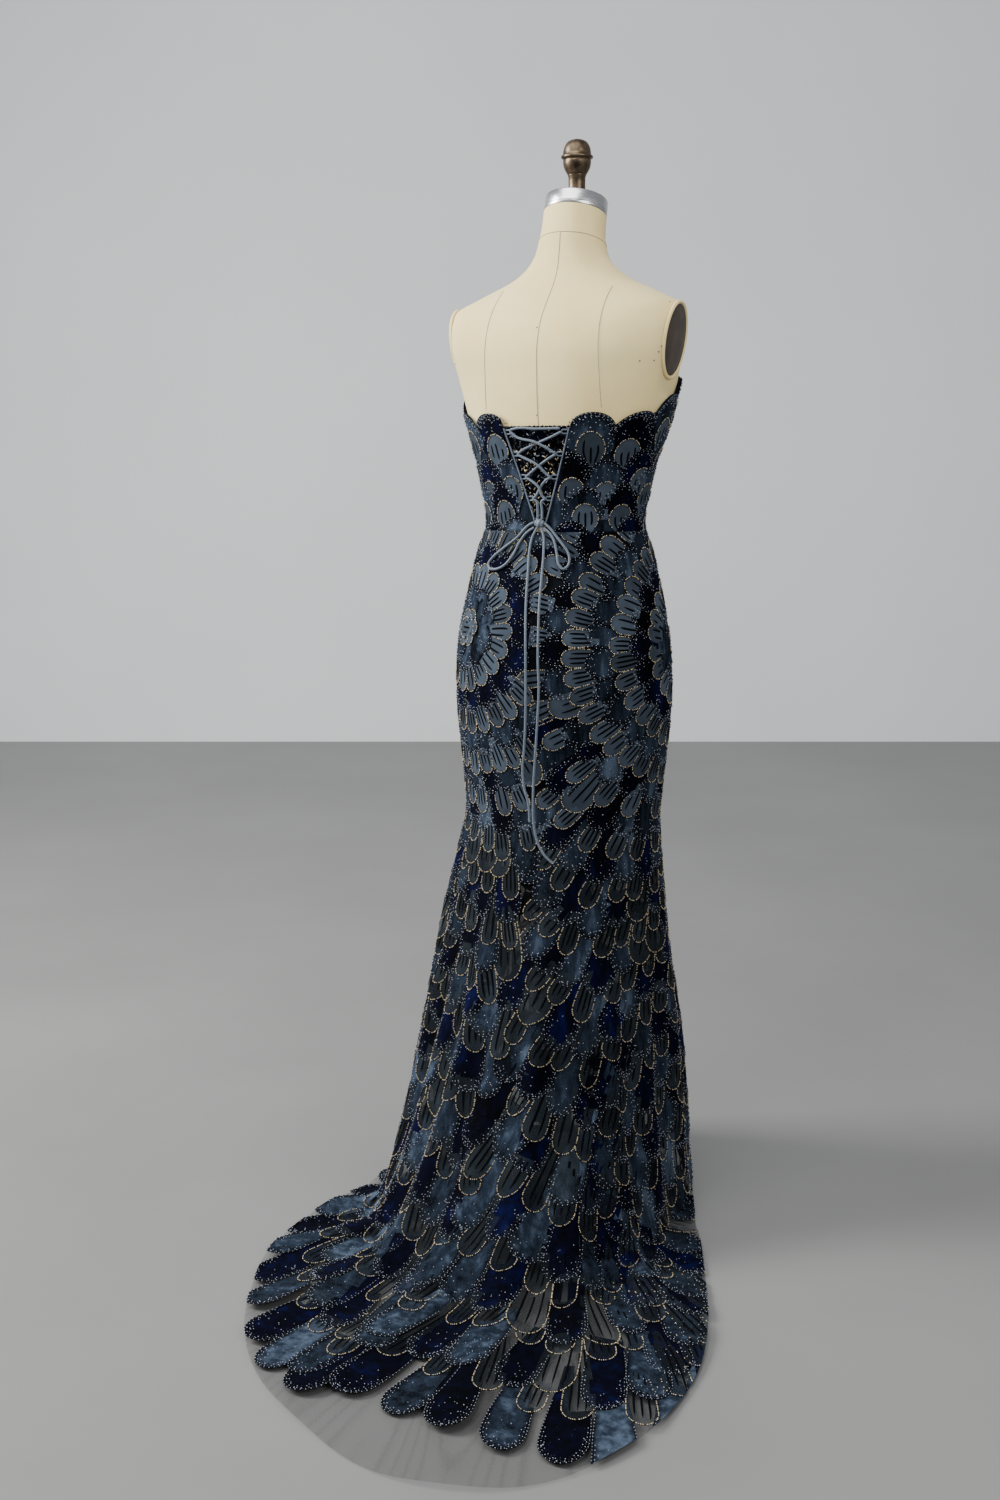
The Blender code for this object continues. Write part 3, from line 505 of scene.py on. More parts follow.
class Sheet:
    """A cloth surface as a fine grid, rows along it by columns round it, read between its points."""

    PER_TURN = 2.0
    FIRST_TURN = -210.0

    def __init__(self, plain, points):
        self.plain = plain
        self.points = points
        self.normals = outward_normals(points)
        self.lengths = lengths_along(plain)
        self.down = np.gradient(plain, axis=0)
        self.round = np.gradient(plain, axis=1)
        self.rows = len(plain) - 1

    def column(self, turn):
        return (turn - self.FIRST_TURN) * self.PER_TURN

    def turn(self, column):
        return column / self.PER_TURN + self.FIRST_TURN

    def read(self, grid, row, column):
        """Values of a grid at rows and columns with fractions."""
        row = np.clip(row, 0, grid.shape[0] - 1.001)
        column = np.clip(column, 0, grid.shape[1] - 1.001)
        r, c = row.astype(int), column.astype(int)
        fr, fc = (row - r)[..., None], (column - c)[..., None]
        if grid.ndim == 2:
            fr, fc = fr[..., 0], fc[..., 0]
        return (
            grid[r, c] * (1 - fr) * (1 - fc)
            + grid[r + 1, c] * fr * (1 - fc)
            + grid[r, c + 1] * (1 - fr) * fc
            + grid[r + 1, c + 1] * fr * fc
        )

    def place(self, row, column, off):
        """Points so far off the cloth."""
        return self.read(self.points, row, column) + self.read(self.normals, row, column) * off[..., None]

    def step(self, row, column, down, side):
        """Rows and columns that a move of so many metres down and round the cloth takes."""
        a = self.read(self.down, row, column)
        b = self.read(self.round, row, column)
        per_row = np.linalg.norm(a, axis=-1)
        ahead = a / per_row[..., None]
        skew = (b * ahead).sum(-1)
        per_column = np.linalg.norm(b - skew[..., None] * ahead, axis=-1)
        per_column = np.maximum(per_column, 0.3 * np.linalg.norm(b, axis=-1))
        columns = side / per_column
        return (down - skew * columns) / per_row, columns


def sheet_turns():
    return np.arange(Sheet.FIRST_TURN, -Sheet.FIRST_TURN + 0.25, 1 / Sheet.PER_TURN)


def skirt_sheet():
    """The skirt as a sheet whose rows go down from the waist to the hem."""
    turns = sheet_turns()
    heights = np.linspace(WAIST_Z - SEAM / 2, KNEE_Z, UPPER + 1)
    upper = form_points(turns[None, :], heights[:, None], cloth_gap(turns[None, :], heights[:, None]))
    plain = np.concatenate((upper[:-1], lower_columns(turns, LOWER)))
    scale = SOLID_UPPER_ROWS / SOLID_LOWER_ROWS
    share = np.concatenate((np.linspace(-scale, 0, UPPER + 1)[:-1], np.linspace(0, 1, LOWER + 1)))
    off = fold_rise(turns[None, :], share[:, None])[..., None] + CLOTH
    return Sheet(plain, plain + outward_normals(plain) * off)


def bodice_sheet():
    """The bodice as a sheet whose rows climb from the waist."""
    turns = sheet_turns()
    heights = np.linspace(WAIST_Z + SEAM / 2, BODICE_TOP_Z, BODICE_ROWS + 1)
    gap = cloth_gap(turns[None, :], heights[:, None]) + CLOTH
    points = form_points(turns[None, :], heights[:, None], gap)
    return Sheet(points, points)


def lining_share(height):
    """1 where the skirt is lined; below the knee less, a share of painted shade that makes the net denser
    where shade falls inside the skirt; 0 where it is sheer on the floor.
    """
    thin = PAINTED_SHADE_SHARE * ease((height - SHEER_BELOW_Z) / SHEER_RISE)
    return np.maximum(ease((height - LINED_FROM_Z) / LINED_RISE), thin)


def seam_room(turn):
    """Length of cloth from waist to where the outermost tips lie, at each turn."""
    column = np.clip(skirt.column(turn), 0, skirt.lengths.shape[1] - 1).astype(int)
    bare = BARE_EDGE * np.exp(-(((turn - BARE_TURN) / BARE_SPREAD) ** 2))
    first = ease((turn - CUT_TURNS[0]) / CUT_BLENDS[0])
    cut = CUT_PAST * ease((CUT_TURNS[1] - turn) / CUT_BLENDS[1]) * first
    return skirt.lengths[-1, column] - bare + cut


def row_at(sheet, turn, along):
    """Row at so many metres of cloth below the waist, at each turn."""
    column = np.clip(sheet.column(turn), 0, sheet.lengths.shape[1] - 1).astype(int)
    knee = sheet.lengths[UPPER, column]
    end = sheet.lengths[-1, column]
    lower = UPPER + (along - knee) / (end - knee) * LOWER
    return np.where(along < knee, along / knee * UPPER, lower)


# Making pieces

def add_mesh(name, points, faces, skin, slot, node=None, level=True):
    """A piece from points and faces, one array or a list of them, that may replace a CAD node."""
    groups = faces if isinstance(faces, list) else [faces]
    groups = [np.asarray(group, np.int32) for group in groups if len(group)]
    mesh = bpy.data.meshes.new(name)
    mesh.vertices.add(len(points))
    mesh.vertices.foreach_set("co", np.asarray(points, np.float32).ravel())
    corners = np.concatenate([group.ravel() for group in groups])
    sizes = np.concatenate([np.full(len(group), group.shape[1], np.int32) for group in groups])
    starts = np.concatenate(([0], np.cumsum(sizes)[:-1])).astype(np.int32)
    mesh.loops.add(len(corners))
    mesh.loops.foreach_set("vertex_index", corners)
    mesh.polygons.add(len(sizes))
    mesh.polygons.foreach_set("loop_start", starts)
    mesh.update(calc_edges=True)
    mesh.validate()
    if level:
        mesh.shade_smooth()
    mesh.materials.append(skin)
    thing = bpy.data.objects.new(name, mesh)
    bpy.context.scene.collection.objects.link(thing)
    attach(thing, "root")
    if node:
        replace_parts(thing, node)
    return thing


def set_values(thing, **values):
    """Stores a number for each point, or one for all, which the material reads by name."""
    for name, numbers in values.items():
        numbers = np.broadcast_to(np.asarray(numbers, np.float32), len(thing.data.vertices))
        attribute = thing.data.attributes.new(name, "FLOAT", "POINT")
        attribute.data.foreach_set("value", np.ascontiguousarray(numbers))


def grid_faces(rows, columns, closed=False):
    r = np.arange(rows - 1)[:, None]
    c = np.arange(columns if closed else columns - 1)[None, :]
    d = (c + 1) % columns
    corners = (r * columns + c, r * columns + d, (r + 1) * columns + d, (r + 1) * columns + c)
    return np.stack([np.broadcast_to(x, (rows - 1, c.shape[1])) for x in corners], -1).reshape(-1, 4)


def joined(parts):
    """Several pairs of points and faces as one pair."""
    shifts = np.cumsum([0] + [len(points) for points, _ in parts])
    faces = [part[1] + shift for part, shift in zip(parts, shifts)]
    return np.concatenate([part[0] for part in parts]), np.concatenate(faces)


def wall(name, inner, outer, skin, slot, node):
    """A closed thin wall between two grids of points."""
    rows, columns = inner.shape[:2]
    inside = grid_faces(rows, columns)
    outside = inside[:, ::-1] + rows * columns
    edge = [(0, c) for c in range(columns)]
    edge += [(r, columns - 1) for r in range(1, rows)]
    edge += [(rows - 1, c) for c in range(columns - 2, -1, -1)]
    edge += [(r, 0) for r in range(rows - 2, 0, -1)]
    ring = np.array([r * columns + c for r, c in edge])
    after = np.roll(ring, -1)
    rim = np.stack((ring, ring + rows * columns, after + rows * columns, after), -1)
    points = np.concatenate((inner.reshape(-1, 3), outer.reshape(-1, 3)))
    return add_mesh(name, points, np.concatenate((inside, outside, rim)), skin, slot, node)


def rings(name, made, skin, slot, node=None):
    """A closed body through rings of equally many points, with flat ends."""
    count = len(made[0])
    last = (len(made) - 1) * count
    faces = [
        grid_faces(len(made), count, closed=True),
        np.arange(count)[None, ::-1],
        np.arange(last, last + count)[None, :],
    ]
    thing = add_mesh(name, np.concatenate(made), faces, skin, slot, node)
    thing.data.set_sharp_from_angle(angle=radians(35))
    return thing


def lathe(name, outline, centre, tilt, skin, slot, node):
    """A turned body from heights and radii, on an axis that leans back by tilt."""
    sides = 72
    lean = np.array(Matrix.Rotation(tilt, 3, "X"))
    angles = np.linspace(0, 2 * pi, sides, endpoint=False)
    made = []
    for height, radius in outline:
        radius = max(radius, 0.0002)
        ring = np.stack((radius * np.cos(angles), radius * np.sin(angles), np.full(sides, height)), -1)
        made.append(centre + ring @ lean.T)
    return rings(name, made, skin, slot, node)


def curve_through(route, step):
    """Evenly spaced points on a smooth curve through the route's own points."""
    route = np.array(route, float)
    knots = lengths_along(route)
    fine = smooth(np.column_stack((knots, route)), np.linspace(0, knots[-1], 12 * len(route)))
    lengths = lengths_along(fine)
    count = max(int(round(lengths[-1] / step)), 6)
    wanted = np.linspace(0, lengths[-1], count + 1)
    return np.column_stack([np.interp(wanted, lengths, fine[:, axis]) for axis in range(3)])


def cord(node, points, thickness):
    """A round cord along the points, which replaces its CAD node."""
    data = bpy.data.curves.new(node + "_cord", "CURVE")
    data.dimensions = "3D"
    data.bevel_depth = thickness / 2
    data.bevel_resolution = 5
    data.use_fill_caps = True
    spline = data.splines.new("POLY")
    spline.points.add(len(points) - 1)
    for place, point in zip(spline.points, points):
        place.co = (*point, 1.0)
    spline.use_smooth = True
    data.materials.append(cord_skin)
    thing = bpy.data.objects.new(node + "_cord", data)
    bpy.context.scene.collection.objects.link(thing)
    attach(thing, "root")
    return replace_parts(thing, node)


def frames_along(directions):
    """Two unit vectors across each direction."""
    steep = np.abs(directions[:, 2:3]) >= 0.9
    helper = np.where(steep, np.array([[1.0, 0, 0]]), np.array([[0, 0, 1.0]]))
    first = unit(np.cross(directions, helper))
    return first, np.cross(directions, first)


def piping(name, routes, radius, skin, slot):
    """Thin round trim along each route, as one piece."""
    sides = 8
    angles = np.linspace(0, 2 * pi, sides, endpoint=False)[None, :, None]
    parts = []
    for route in routes:
        first, second = frames_along(unit(np.gradient(route, axis=0)))
        ring = np.cos(angles) * first[:, None] + np.sin(angles) * second[:, None]
        points = (route[:, None] + radius * ring).reshape(-1, 3)
        parts.append((points, grid_faces(len(route), sides, closed=True)))
    return add_mesh(name, *joined(parts), skin, slot)


def beads(name, spots, outs, radii, skin, slot="sequin_mesh"):
    """Many small faceted beads as one piece."""
    outs = unit(outs)
    radii = np.broadcast_to(radii, (len(spots),))[:, None]
    first, second = frames_along(outs)
    centre = spots + outs * radii * 0.75
    corners = np.stack((
        centre + first * radii, centre + second * radii, centre - first * radii,
        centre - second * radii, centre + outs * radii * 0.85, centre - outs * radii * 0.85), 1)
    corners[..., 2] = np.maximum(corners[..., 2], 0.0008)
    pattern = np.array((
        (0, 1, 4), (1, 2, 4), (2, 3, 4), (3, 0, 4), (1, 0, 5), (2, 1, 5), (3, 2, 5), (0, 3, 5)))
    faces = (pattern[None] + 6 * np.arange(len(spots))[:, None, None]).reshape(-1, 3)
    return add_mesh(name, corners.reshape(-1, 3), faces, skin, slot)


def bugles(name, spots, outs, turns, half_length, radius, skin):
    """Short rod beads that lie on the cloth, each at its own angle, as one piece."""
    outs = unit(outs)
    side = unit(np.cross(np.array((0, 0, 1.0)), outs))
    up = np.cross(outs, side)
    along = np.cos(turns)[:, None] * up + np.sin(turns)[:, None] * side
    across = np.cross(along, outs)
    centre = spots + outs * radius
    corners = []
    for end in (-1, 1):
        for a, b in ((1, 0), (0, 1), (-1, 0), (0, -1)):
            corners.append(centre + end * half_length * along + radius * (a * across + b * outs))
    corners = np.stack(corners, 1).reshape(-1, 3)
    pattern = np.array((
        (0, 1, 5, 4), (1, 2, 6, 5), (2, 3, 7, 6), (3, 0, 4, 7), (3, 2, 1, 0), (4, 5, 6, 7)))
    faces = (pattern[None] + 8 * np.arange(len(spots))[:, None, None]).reshape(-1, 4)
    return add_mesh(name, corners, faces, skin, "sequin_mesh", level=False)


# Materials

class Skin:
    """A material under construction: its nodes, its links and its shader."""

    def __init__(self, name):
        self.material = bpy.data.materials.new(name)
        self.material.use_nodes = True
        self.nodes = self.material.node_tree.nodes
        self.links = self.material.node_tree.links
        self.shader = self.nodes["Principled BSDF"]

    def set(self, **values):
        for name, value in values.items():
            self.shader.inputs[name.replace("_", " ")].default_value = value
        return self

    def node(self, kind, **settings):
        """A node with its settings and socket values."""
        made = self.nodes.new(kind)
        for name, value in settings.items():
            if hasattr(made, name):
                setattr(made, name, value)
            else:
                made.inputs[name.replace("_", " ")].default_value = value
        return made

    def fill(self, socket, value):
        """Gives a socket a number, a colour or a link."""
        if isinstance(value, (int, float)):
            socket.default_value = value
        elif isinstance(value, tuple):
            socket.default_value = (*value, 1.0)
        else:
            self.links.new(value, socket)

    def value(self, name):
        return self.node("ShaderNodeAttribute", attribute_name=name).outputs["Fac"]

    def noise(self, scale, detail=3.0, roughness=0.55, stretch=None):
        where = self.node("ShaderNodeTexCoord").outputs["Object"]
        if stretch:
            mapping = self.node("ShaderNodeMapping", Scale=stretch)
            self.fill(mapping.inputs["Vector"], where)
            where = mapping.outputs["Vector"]
        made = self.node("ShaderNodeTexNoise", Scale=scale, Detail=detail, Roughness=roughness)
        self.fill(made.inputs["Vector"], where)
        return made.outputs["Fac"]

    def dots(self, scale, jitter=1.0, feature="F1"):
        where = self.node("ShaderNodeTexCoord").outputs["Object"]
        made = self.node("ShaderNodeTexVoronoi", Scale=scale, Randomness=jitter, feature=feature)
        self.fill(made.inputs["Vector"], where)
        return made.outputs["Distance"]

    def ramp(self, source, *stops):
        made = self.node("ShaderNodeValToRGB")
        marks = made.color_ramp.elements
        while len(marks) < len(stops):
            marks.new(0.5)
        for mark, (at, colour) in zip(marks, stops):
            mark.position = at
            mark.color = (*colour, 1.0)
        self.fill(made.inputs["Fac"], source)
        return made.outputs["Color"]

    def sum(self, operation, first, second):
        made = self.node("ShaderNodeMath", operation=operation)
        self.fill(made.inputs[0], first)
        self.fill(made.inputs[1], second)
        return made.outputs["Value"]

    def blend(self, share, first, second, how="MIX"):
        made = self.node("ShaderNodeMix", data_type="RGBA", blend_type=how)
        sockets = [socket for socket in made.inputs if socket.enabled]
        for socket, value in zip(sockets, (share, first, second)):
            self.fill(socket, value)
        return [socket for socket in made.outputs if socket.enabled][0]

    def colour(self, output):
        self.fill(self.shader.inputs["Base Color"], output)

    def bump(self, output, strength, distance):
        """Adds relief over what there is."""
        made = self.node("ShaderNodeBump", Strength=strength, Distance=distance)
        before = self.shader.inputs["Normal"].links
        if before:
            self.fill(made.inputs["Normal"], before[0].from_socket)
        self.fill(made.inputs["Height"], output)
        self.fill(self.shader.inputs["Normal"], made.outputs["Normal"])


def grained_skin(name, grain, dark, light, relief_grain=None, relief=None, **settings):
    """Two colours mixed by a noise between two of its values, with a noise as relief."""
    skin = Skin(name).set(**settings)
    skin.colour(skin.ramp(skin.noise(*grain), dark, light))
    if relief:
        skin.bump(skin.noise(*relief_grain), *relief)
    return skin.material


def bead_skin(name, colour, metallic, roughness):
    shade = tuple(0.55 * x for x in colour)
    return grained_skin(name, (700.0, 1.0), (0.35, shade), (0.65, colour), Metallic=metallic,
                        Roughness=roughness)


def velvet_skin(name, dark, middle, light, sheen, sheen_weight, glitter_glint):
    """Velvet whose pile is crushed light and dark in patches, with streaks of painted sheen down it, and
    where asked a fine glitter painted as pale dots that stand for its glints.
    """
    skin = Skin(name)
    skin.set(Roughness=0.9, Sheen_Weight=sheen_weight, Sheen_Roughness=0.30, Sheen_Tint=(*sheen, 1.0))
    skin.set(Specular_IOR_Level=0.04)
    # The patches are crushed pile and partly painted sheen; the streaks are painted sheen highlights that run
    # down the pile.
    crush_and_sheen_patches = skin.noise(24.0, 4.0, 0.6, (1.0, 1.0, 0.35))
    sheen_streaks = skin.noise(70.0, 3.0, 0.6, (1.0, 1.0, 0.14))
    pile = skin.noise(420.0, 2.0)
    tone = skin.value("tone")
    depth = skin.sum("ADD", skin.sum("MULTIPLY", crush_and_sheen_patches, 0.9), skin.sum("MULTIPLY", sheen_streaks, 1.1))
    depth = skin.sum("ADD", depth, skin.sum("MULTIPLY", tone, 0.35))
    depth = skin.sum("SUBTRACT", depth, 0.68)
    base = skin.ramp(depth, (0.20, dark), (0.55, middle), (0.90, light))
    edge = skin.value("edge")
    base = skin.blend(skin.sum("MULTIPLY", edge, 0.93), base, tuple(0.1 * x for x in dark))
    if glitter_glint:
        # The glitter's specks are real, but they are painted as pale dots that stand for their glints.
        glint_dots = skin.ramp(skin.dots(900.0), (0.10, (1, 1, 1)), (0.20, (0, 0, 0)))
        chance = skin.ramp(skin.noise(520.0, 1.0), (0.54, (0, 0, 0)), (0.62, (1, 1, 1)))
        inside = skin.sum("SUBTRACT", 1.0, edge)
        base = skin.blend(skin.sum("MULTIPLY", skin.sum("MULTIPLY", glint_dots, chance), inside), base, glitter_glint)
    skin.colour(base)
    skin.bump(pile, 0.35, 0.0006)
    skin.bump(crush_and_sheen_patches, 0.5, 0.004)
    return skin.material


def mesh_skin(name, below, above, alpha, edged=False):
    """Sheer net that is closed where the skirt is lined and partly closed lower down as painted shade, its
    colour from below and above.
    """
    skin = Skin(name)
    skin.set(Roughness=0.8, Sheen_Weight=0.05, Sheen_Tint=(0.5, 0.6, 0.7, 1.0), Specular_IOR_Level=0.06)
    lining = skin.value("lining")
    cloud = skin.sum("MULTIPLY", skin.noise(30.0, 3.0), 0.6)
    tone = skin.sum("MULTIPLY", skin.value("tone"), 0.4)
    shade = skin.ramp(skin.sum("ADD", cloud, tone), (0.30, (0.55, 0.55, 0.55)), (0.75, (1.25, 1.25, 1.25)))
    base = skin.blend(1.0, skin.ramp(lining, (0.50, below), (1.0, above)), shade, "MULTIPLY")
    threads = skin.dots(760.0, 0.35, "DISTANCE_TO_EDGE")
    net = skin.ramp(threads, (0.05, (1, 1, 1)), (0.20, (0, 0, 0)))
    closed = skin.sum("ADD", skin.sum("MULTIPLY", net, 0.2), alpha)
    # Closed by the lining, and partly closed below the knee as painted shade.
    closed = skin.sum("MAXIMUM", closed, lining)
    if edged:
        edge = skin.value("edge")
        base = skin.blend(skin.sum("MULTIPLY", edge, 0.95), base, (0.001, 0.001, 0.0015))
        closed = skin.sum("MAXIMUM", closed, edge)
    skin.colour(base)
    skin.fill(skin.shader.inputs["Alpha"], closed)
    skin.bump(net, 0.3, 0.0004)
    return skin.material


def linen_skin():
    """Cream linen, clouded and woven both ways."""
    skin = Skin("form_linen").set(Roughness=0.88, Sheen_Weight=0.15)
    warp = skin.noise(1500.0, 2.0, 0.6, (1.0, 1.0, 0.25))
    weft = skin.noise(1500.0, 2.0, 0.6, (0.25, 0.25, 1.0))
    weave = skin.sum("ADD", warp, weft)
    cloud = skin.ramp(skin.noise(9.0, 5.0), (0.3, (0.82, 0.64, 0.28)), (0.7, (0.92, 0.76, 0.37)))
    skin.colour(skin.blend(skin.sum("MULTIPLY", weave, 0.12), cloud, (0.58, 0.42, 0.17)))
    skin.bump(weave, 0.25, 0.0005)
    return skin.material


# The light end of each velvet's ramp is partly painted sheen; the slate's last colour is its glitter, painted
# as glints.
navy_velvet = velvet_skin(
    "navy_velvet", (0.0002, 0.0003, 0.0007), (0.0007, 0.0010, 0.0060), (0.0018, 0.0028, 0.0310),
    (0.05, 0.08, 0.40), 0.10, None)
slate_velvet = velvet_skin(
    "slate_velvet", (0.0018, 0.0029, 0.0050), (0.012, 0.018, 0.030), (0.058, 0.080, 0.116),
    (0.30, 0.42, 0.60), 0.22, (0.22, 0.27, 0.34))
petal_net = mesh_skin("petal_net", (0.0180, 0.0240, 0.0290), (0.043, 0.057, 0.077), 0.16, True)
base_tulle = mesh_skin("base_tulle", (0.0008, 0.0010, 0.0015), (0.002, 0.003, 0.005), 0.15)
gold_bead = bead_skin("gold_bead", (0.88, 0.69, 0.38), 0.55, 0.28)
silver_bead = bead_skin("silver_bead", (0.50, 0.54, 0.64), 0.30, 0.28)
dark_bead = bead_skin("dark_bead", (0.016, 0.020, 0.034), 0.3, 0.22)
linen = linen_skin()
black_thread = grained_skin(
    "black_thread", (600.0,), (0.3, (0.0006, 0.0006, 0.0008)), (0.7, (0.003, 0.003, 0.004)),
    (900.0, 1.0, 0.5, (1, 1, 0.2)), (0.5, 0.0004), Roughness=0.9, Specular_IOR_Level=0.03)
cord_skin = grained_skin(
    "slate_cord", (500.0, 2.0), (0.3, (0.050, 0.066, 0.088)), (0.7, (0.105, 0.135, 0.175)),
    (900.0, 1.0), (0.4, 0.0004), Roughness=0.5, Sheen_Weight=0.4, Sheen_Tint=(0.7, 0.8, 0.9, 1.0))
linen_seam = grained_skin(
    "linen_seam", (900.0,), (0.3, (0.30, 0.25, 0.17)), (0.7, (0.52, 0.46, 0.33)),
    (1200.0, 1.0), (0.3, 0.0004), Roughness=0.9, Specular_IOR_Level=0.2)
plate_skin = grained_skin(
    "arm_plate", (60.0, 5.0), (0.3, (0.020, 0.012, 0.006)), (0.7, (0.060, 0.036, 0.018)),
    (400.0,), (0.3, 0.0005), Roughness=0.5)
steel = grained_skin(
    "neck_steel", (900.0, 3.0, 0.6, (0.06, 0.06, 1.0)), (0.3, (0.45, 0.45, 0.46)),
    (0.7, (0.66, 0.66, 0.67)), (900.0, 3.0, 0.6, (0.06, 0.06, 1.0)), (0.25, 0.0003),
    Metallic=1.0, Roughness=0.26, Anisotropic=0.6)
bronze = grained_skin(
    "knob_bronze", (70.0, 6.0, 0.65), (0.32, (0.035, 0.026, 0.018)), (0.62, (0.16, 0.115, 0.07)),
    (70.0, 6.0, 0.65), (0.35, 0.0008), Metallic=0.85, Roughness=0.38)
stand_metal = grained_skin(
    "stand_metal", (50.0, 5.0), (0.3, (0.02, 0.02, 0.022)), (0.7, (0.05, 0.05, 0.055)),
    (700.0,), (0.2, 0.0004), Metallic=0.8, Roughness=0.42)
floor_skin = grained_skin(
    "floor", (1.2, 4.0), (0.3, (0.185, 0.182, 0.178)), (0.7, (0.22, 0.217, 0.212)), Roughness=0.45)
wall_skin = grained_skin(
    "backdrop", (0.8, 3.0), (0.3, (0.84, 0.85, 0.86)), (0.7, (0.90, 0.91, 0.92)), Roughness=0.9)


# Camera and cords

def make_camera():
    camera = bpy.data.objects.new("camera", bpy.data.cameras.new("camera"))
    bpy.context.scene.collection.objects.link(camera)
    camera.data.lens = LENS
    camera.data.sensor_width = 36.0
    camera.data.clip_start = 0.05
    camera.location = EYE
    heading = Vector((LOOK[0], LOOK[1], -tan(TILT)))
    camera.rotation_euler = heading.to_track_quat("-Z", "Y").to_euler()
    bpy.context.scene.camera = camera


def on_back(x, height, off):
    return form_points(turn_of(x, height, off), height, off)


def hanging(x, height):
    point = on_back(x, max(height, HANG_Z), ON_CLOTH)
    return np.array((point[0], point[1], height))


def lacing_route(side, with_bar):
    """One strand of the lacing, bend by bend, from the top rung down to the knot."""
    route = []
    if with_bar:
        height = RUNG_HEIGHTS[0] + BAR_RISE
        far = lace_reach(height, -side) - BEND_FROM_EDGE
        near = lace_reach(height, side) - BEND_FROM_EDGE
        route.append(on_back(-side * (far - BAR_FAR), height, OVER_LOOP))
        route.append(on_back(0.0, height - BAR_SAG, OVER_LOOP))
        route.append(on_back(side * (near - BAR_NEAR), height, OVER_LOOP))
        route.append(on_back(side * (near - BAR_TURN[0]), height - BAR_TURN[1], OVER_LOOP))
    for rung, height in enumerate(RUNG_HEIGHTS):
        bend = lace_reach(height, side) - BEND_FROM_EDGE
        if rung:
            route.append(on_back(side * (bend - BEND_BEFORE[0]), height + BEND_BEFORE[1], OVER_LOOP))
        if rung or not with_bar:
            route.append(on_back(side * bend, height - BEND_SINK, OVER_LOOP))
        route.append(on_back(side * (bend - BEND_AFTER[0]), height - BEND_AFTER[1], OVER_LOOP))
        if height != RUNG_HEIGHTS[-1]:
            crossing_z = (height + RUNG_HEIGHTS[rung + 1]) / 2
            off = CROSS_HIGH if side > 0 else CROSS_LOW
            route.append(on_back(0.0, crossing_z, off))
        side = -side
    for height in ((RUNG_HEIGHTS[-1] + KNOT_Z) / 2, KNOT_Z + KNOT_HALF[2]):
        route.append(on_back(-side * LACING_END_X, height, OVER_LOOP))
    return route


def edge_loop_route(height, side):
    """One loop along a laced edge: out from the edge, round, and back."""
    edge = float(lace_reach(height, side)) - SEAM - LOOP_CORD / 2
    outline = [(edge, -LOOP_HALF)]
    for angle in np.linspace(-pi / 2, pi / 2, 12):
        x = edge - LOOP_REACH + LOOP_HALF * (1 - np.cos(angle))
        outline.append((x, LOOP_HALF * np.sin(angle)))
    outline.append((edge, LOOP_HALF))
    return [on_back(side * x, height + up, LOOP_OUT) for x, up in outline]


def make_knot():
    """The bow's knot: cord wrapped over a core."""
    centre = on_back(0.0, KNOT_Z, KNOT_OFF)
    sides = np.linspace(0, 2 * pi, 40, endpoint=False)
    made = []
    for level in np.linspace(-pi / 2, pi / 2, 26)[1:-1]:
        ring = np.stack((np.cos(level) * np.cos(sides), np.cos(level) * np.sin(sides),
                         np.sin(level) + 0 * sides), -1)
        wrapped = 1.0 + 0.09 * np.cos(2 * pi * (ring[:, 0] * 1.35 + 0.35 * ring[:, 2]))
        made.append(centre + ring * np.array(KNOT_HALF) * wrapped[:, None])
    rings("bow_knot_cord", made, cord_skin, "slate_cord", "bow_knot")


def free_cord(node, points):
    """A cord for a loop or a loose end of the bow, made as the others are."""
    cord(node, points, CORD)


def make_cords():
    """The lacing, the loops along its edges, and the bow with its loose ends."""
    for node, side, bar in (("lacing_first", 1, True), ("lacing_second", -1, False)):
        cord(node, curve_through(lacing_route(side, bar), 0.0022), CORD)
    for rung, height in enumerate(RUNG_HEIGHTS):
        for name, side in (("left", 1), ("right", -1)):
            cord(f"lace_loop_{name}_{rung + 1}", edge_loop_route(height, side), LOOP_CORD)
    make_knot()
    for node, route in (("bow_loop_left", LOOP_LEFT), ("bow_loop_right", LOOP_RIGHT)):
        free_cord(node, curve_through([on_back(x, z, BOW_OFF) for x, z in route], 0.0025))
    for node, route in (("tail_left", TAIL_LEFT), ("tail_right", TAIL_RIGHT)):
        free_cord(node, curve_through([hanging(x, z) for x, z in route], 0.0040))


# Cloth under the petals


def make_skirt_cloth():
    """The three tulle panels, from waist to hem."""
    rows = np.arange(0, UPPER + LOWER + 1, 1.0)
    for node, first, last in (
        ("skirt_back_left", 0, 90), ("skirt_front", 90, 270), ("skirt_back_right", -90, 0),
    ):
        turns = wrap(np.linspace(first, last, last - first + 1))
        r, c = np.meshgrid(rows, skirt.column(turns), indexing="ij")
        points = skirt.place(r, c, 0.0 * r - 0.0004)
        points[..., 2] = np.maximum(points[..., 2], 0.0012)
        faces = grid_faces(len(rows), len(turns))
        thing = add_mesh(node + "_cloth", points.reshape(-1, 3), faces, base_tulle, "petal_tulle", node)
        # The net is closed where it is lined, and partly closed below the knee as painted shade.
        set_values(thing, lining=lining_share(points[..., 2].ravel()), tone=0.5)
        length = float(skirt.lengths[-1, skirt.column(turns).astype(int)].max())


def bodice_grid(turns, side, off):
    """Points of a bodice panel so far off its inner face, up to its scallops."""
    share = np.linspace(0, 1, 36)[:, None]
    z = WAIST_Z + SEAM / 2 + (neckline(turns)[None, :] - WAIST_Z - SEAM / 2) * share
    at = np.broadcast_to(turns[None, :], z.shape)
    if side:
        part = (turns - turns[0]) / (turns[-1] - turns[0])
        edge = turn_of(lace_reach(z, side), z)
        at = edge + part[None, :] * (turns[-1] - edge)
    points = form_points(at, z, cloth_gap(at, z) + off)
    points[..., 0] *= -1 if side < 0 else 1
    return points


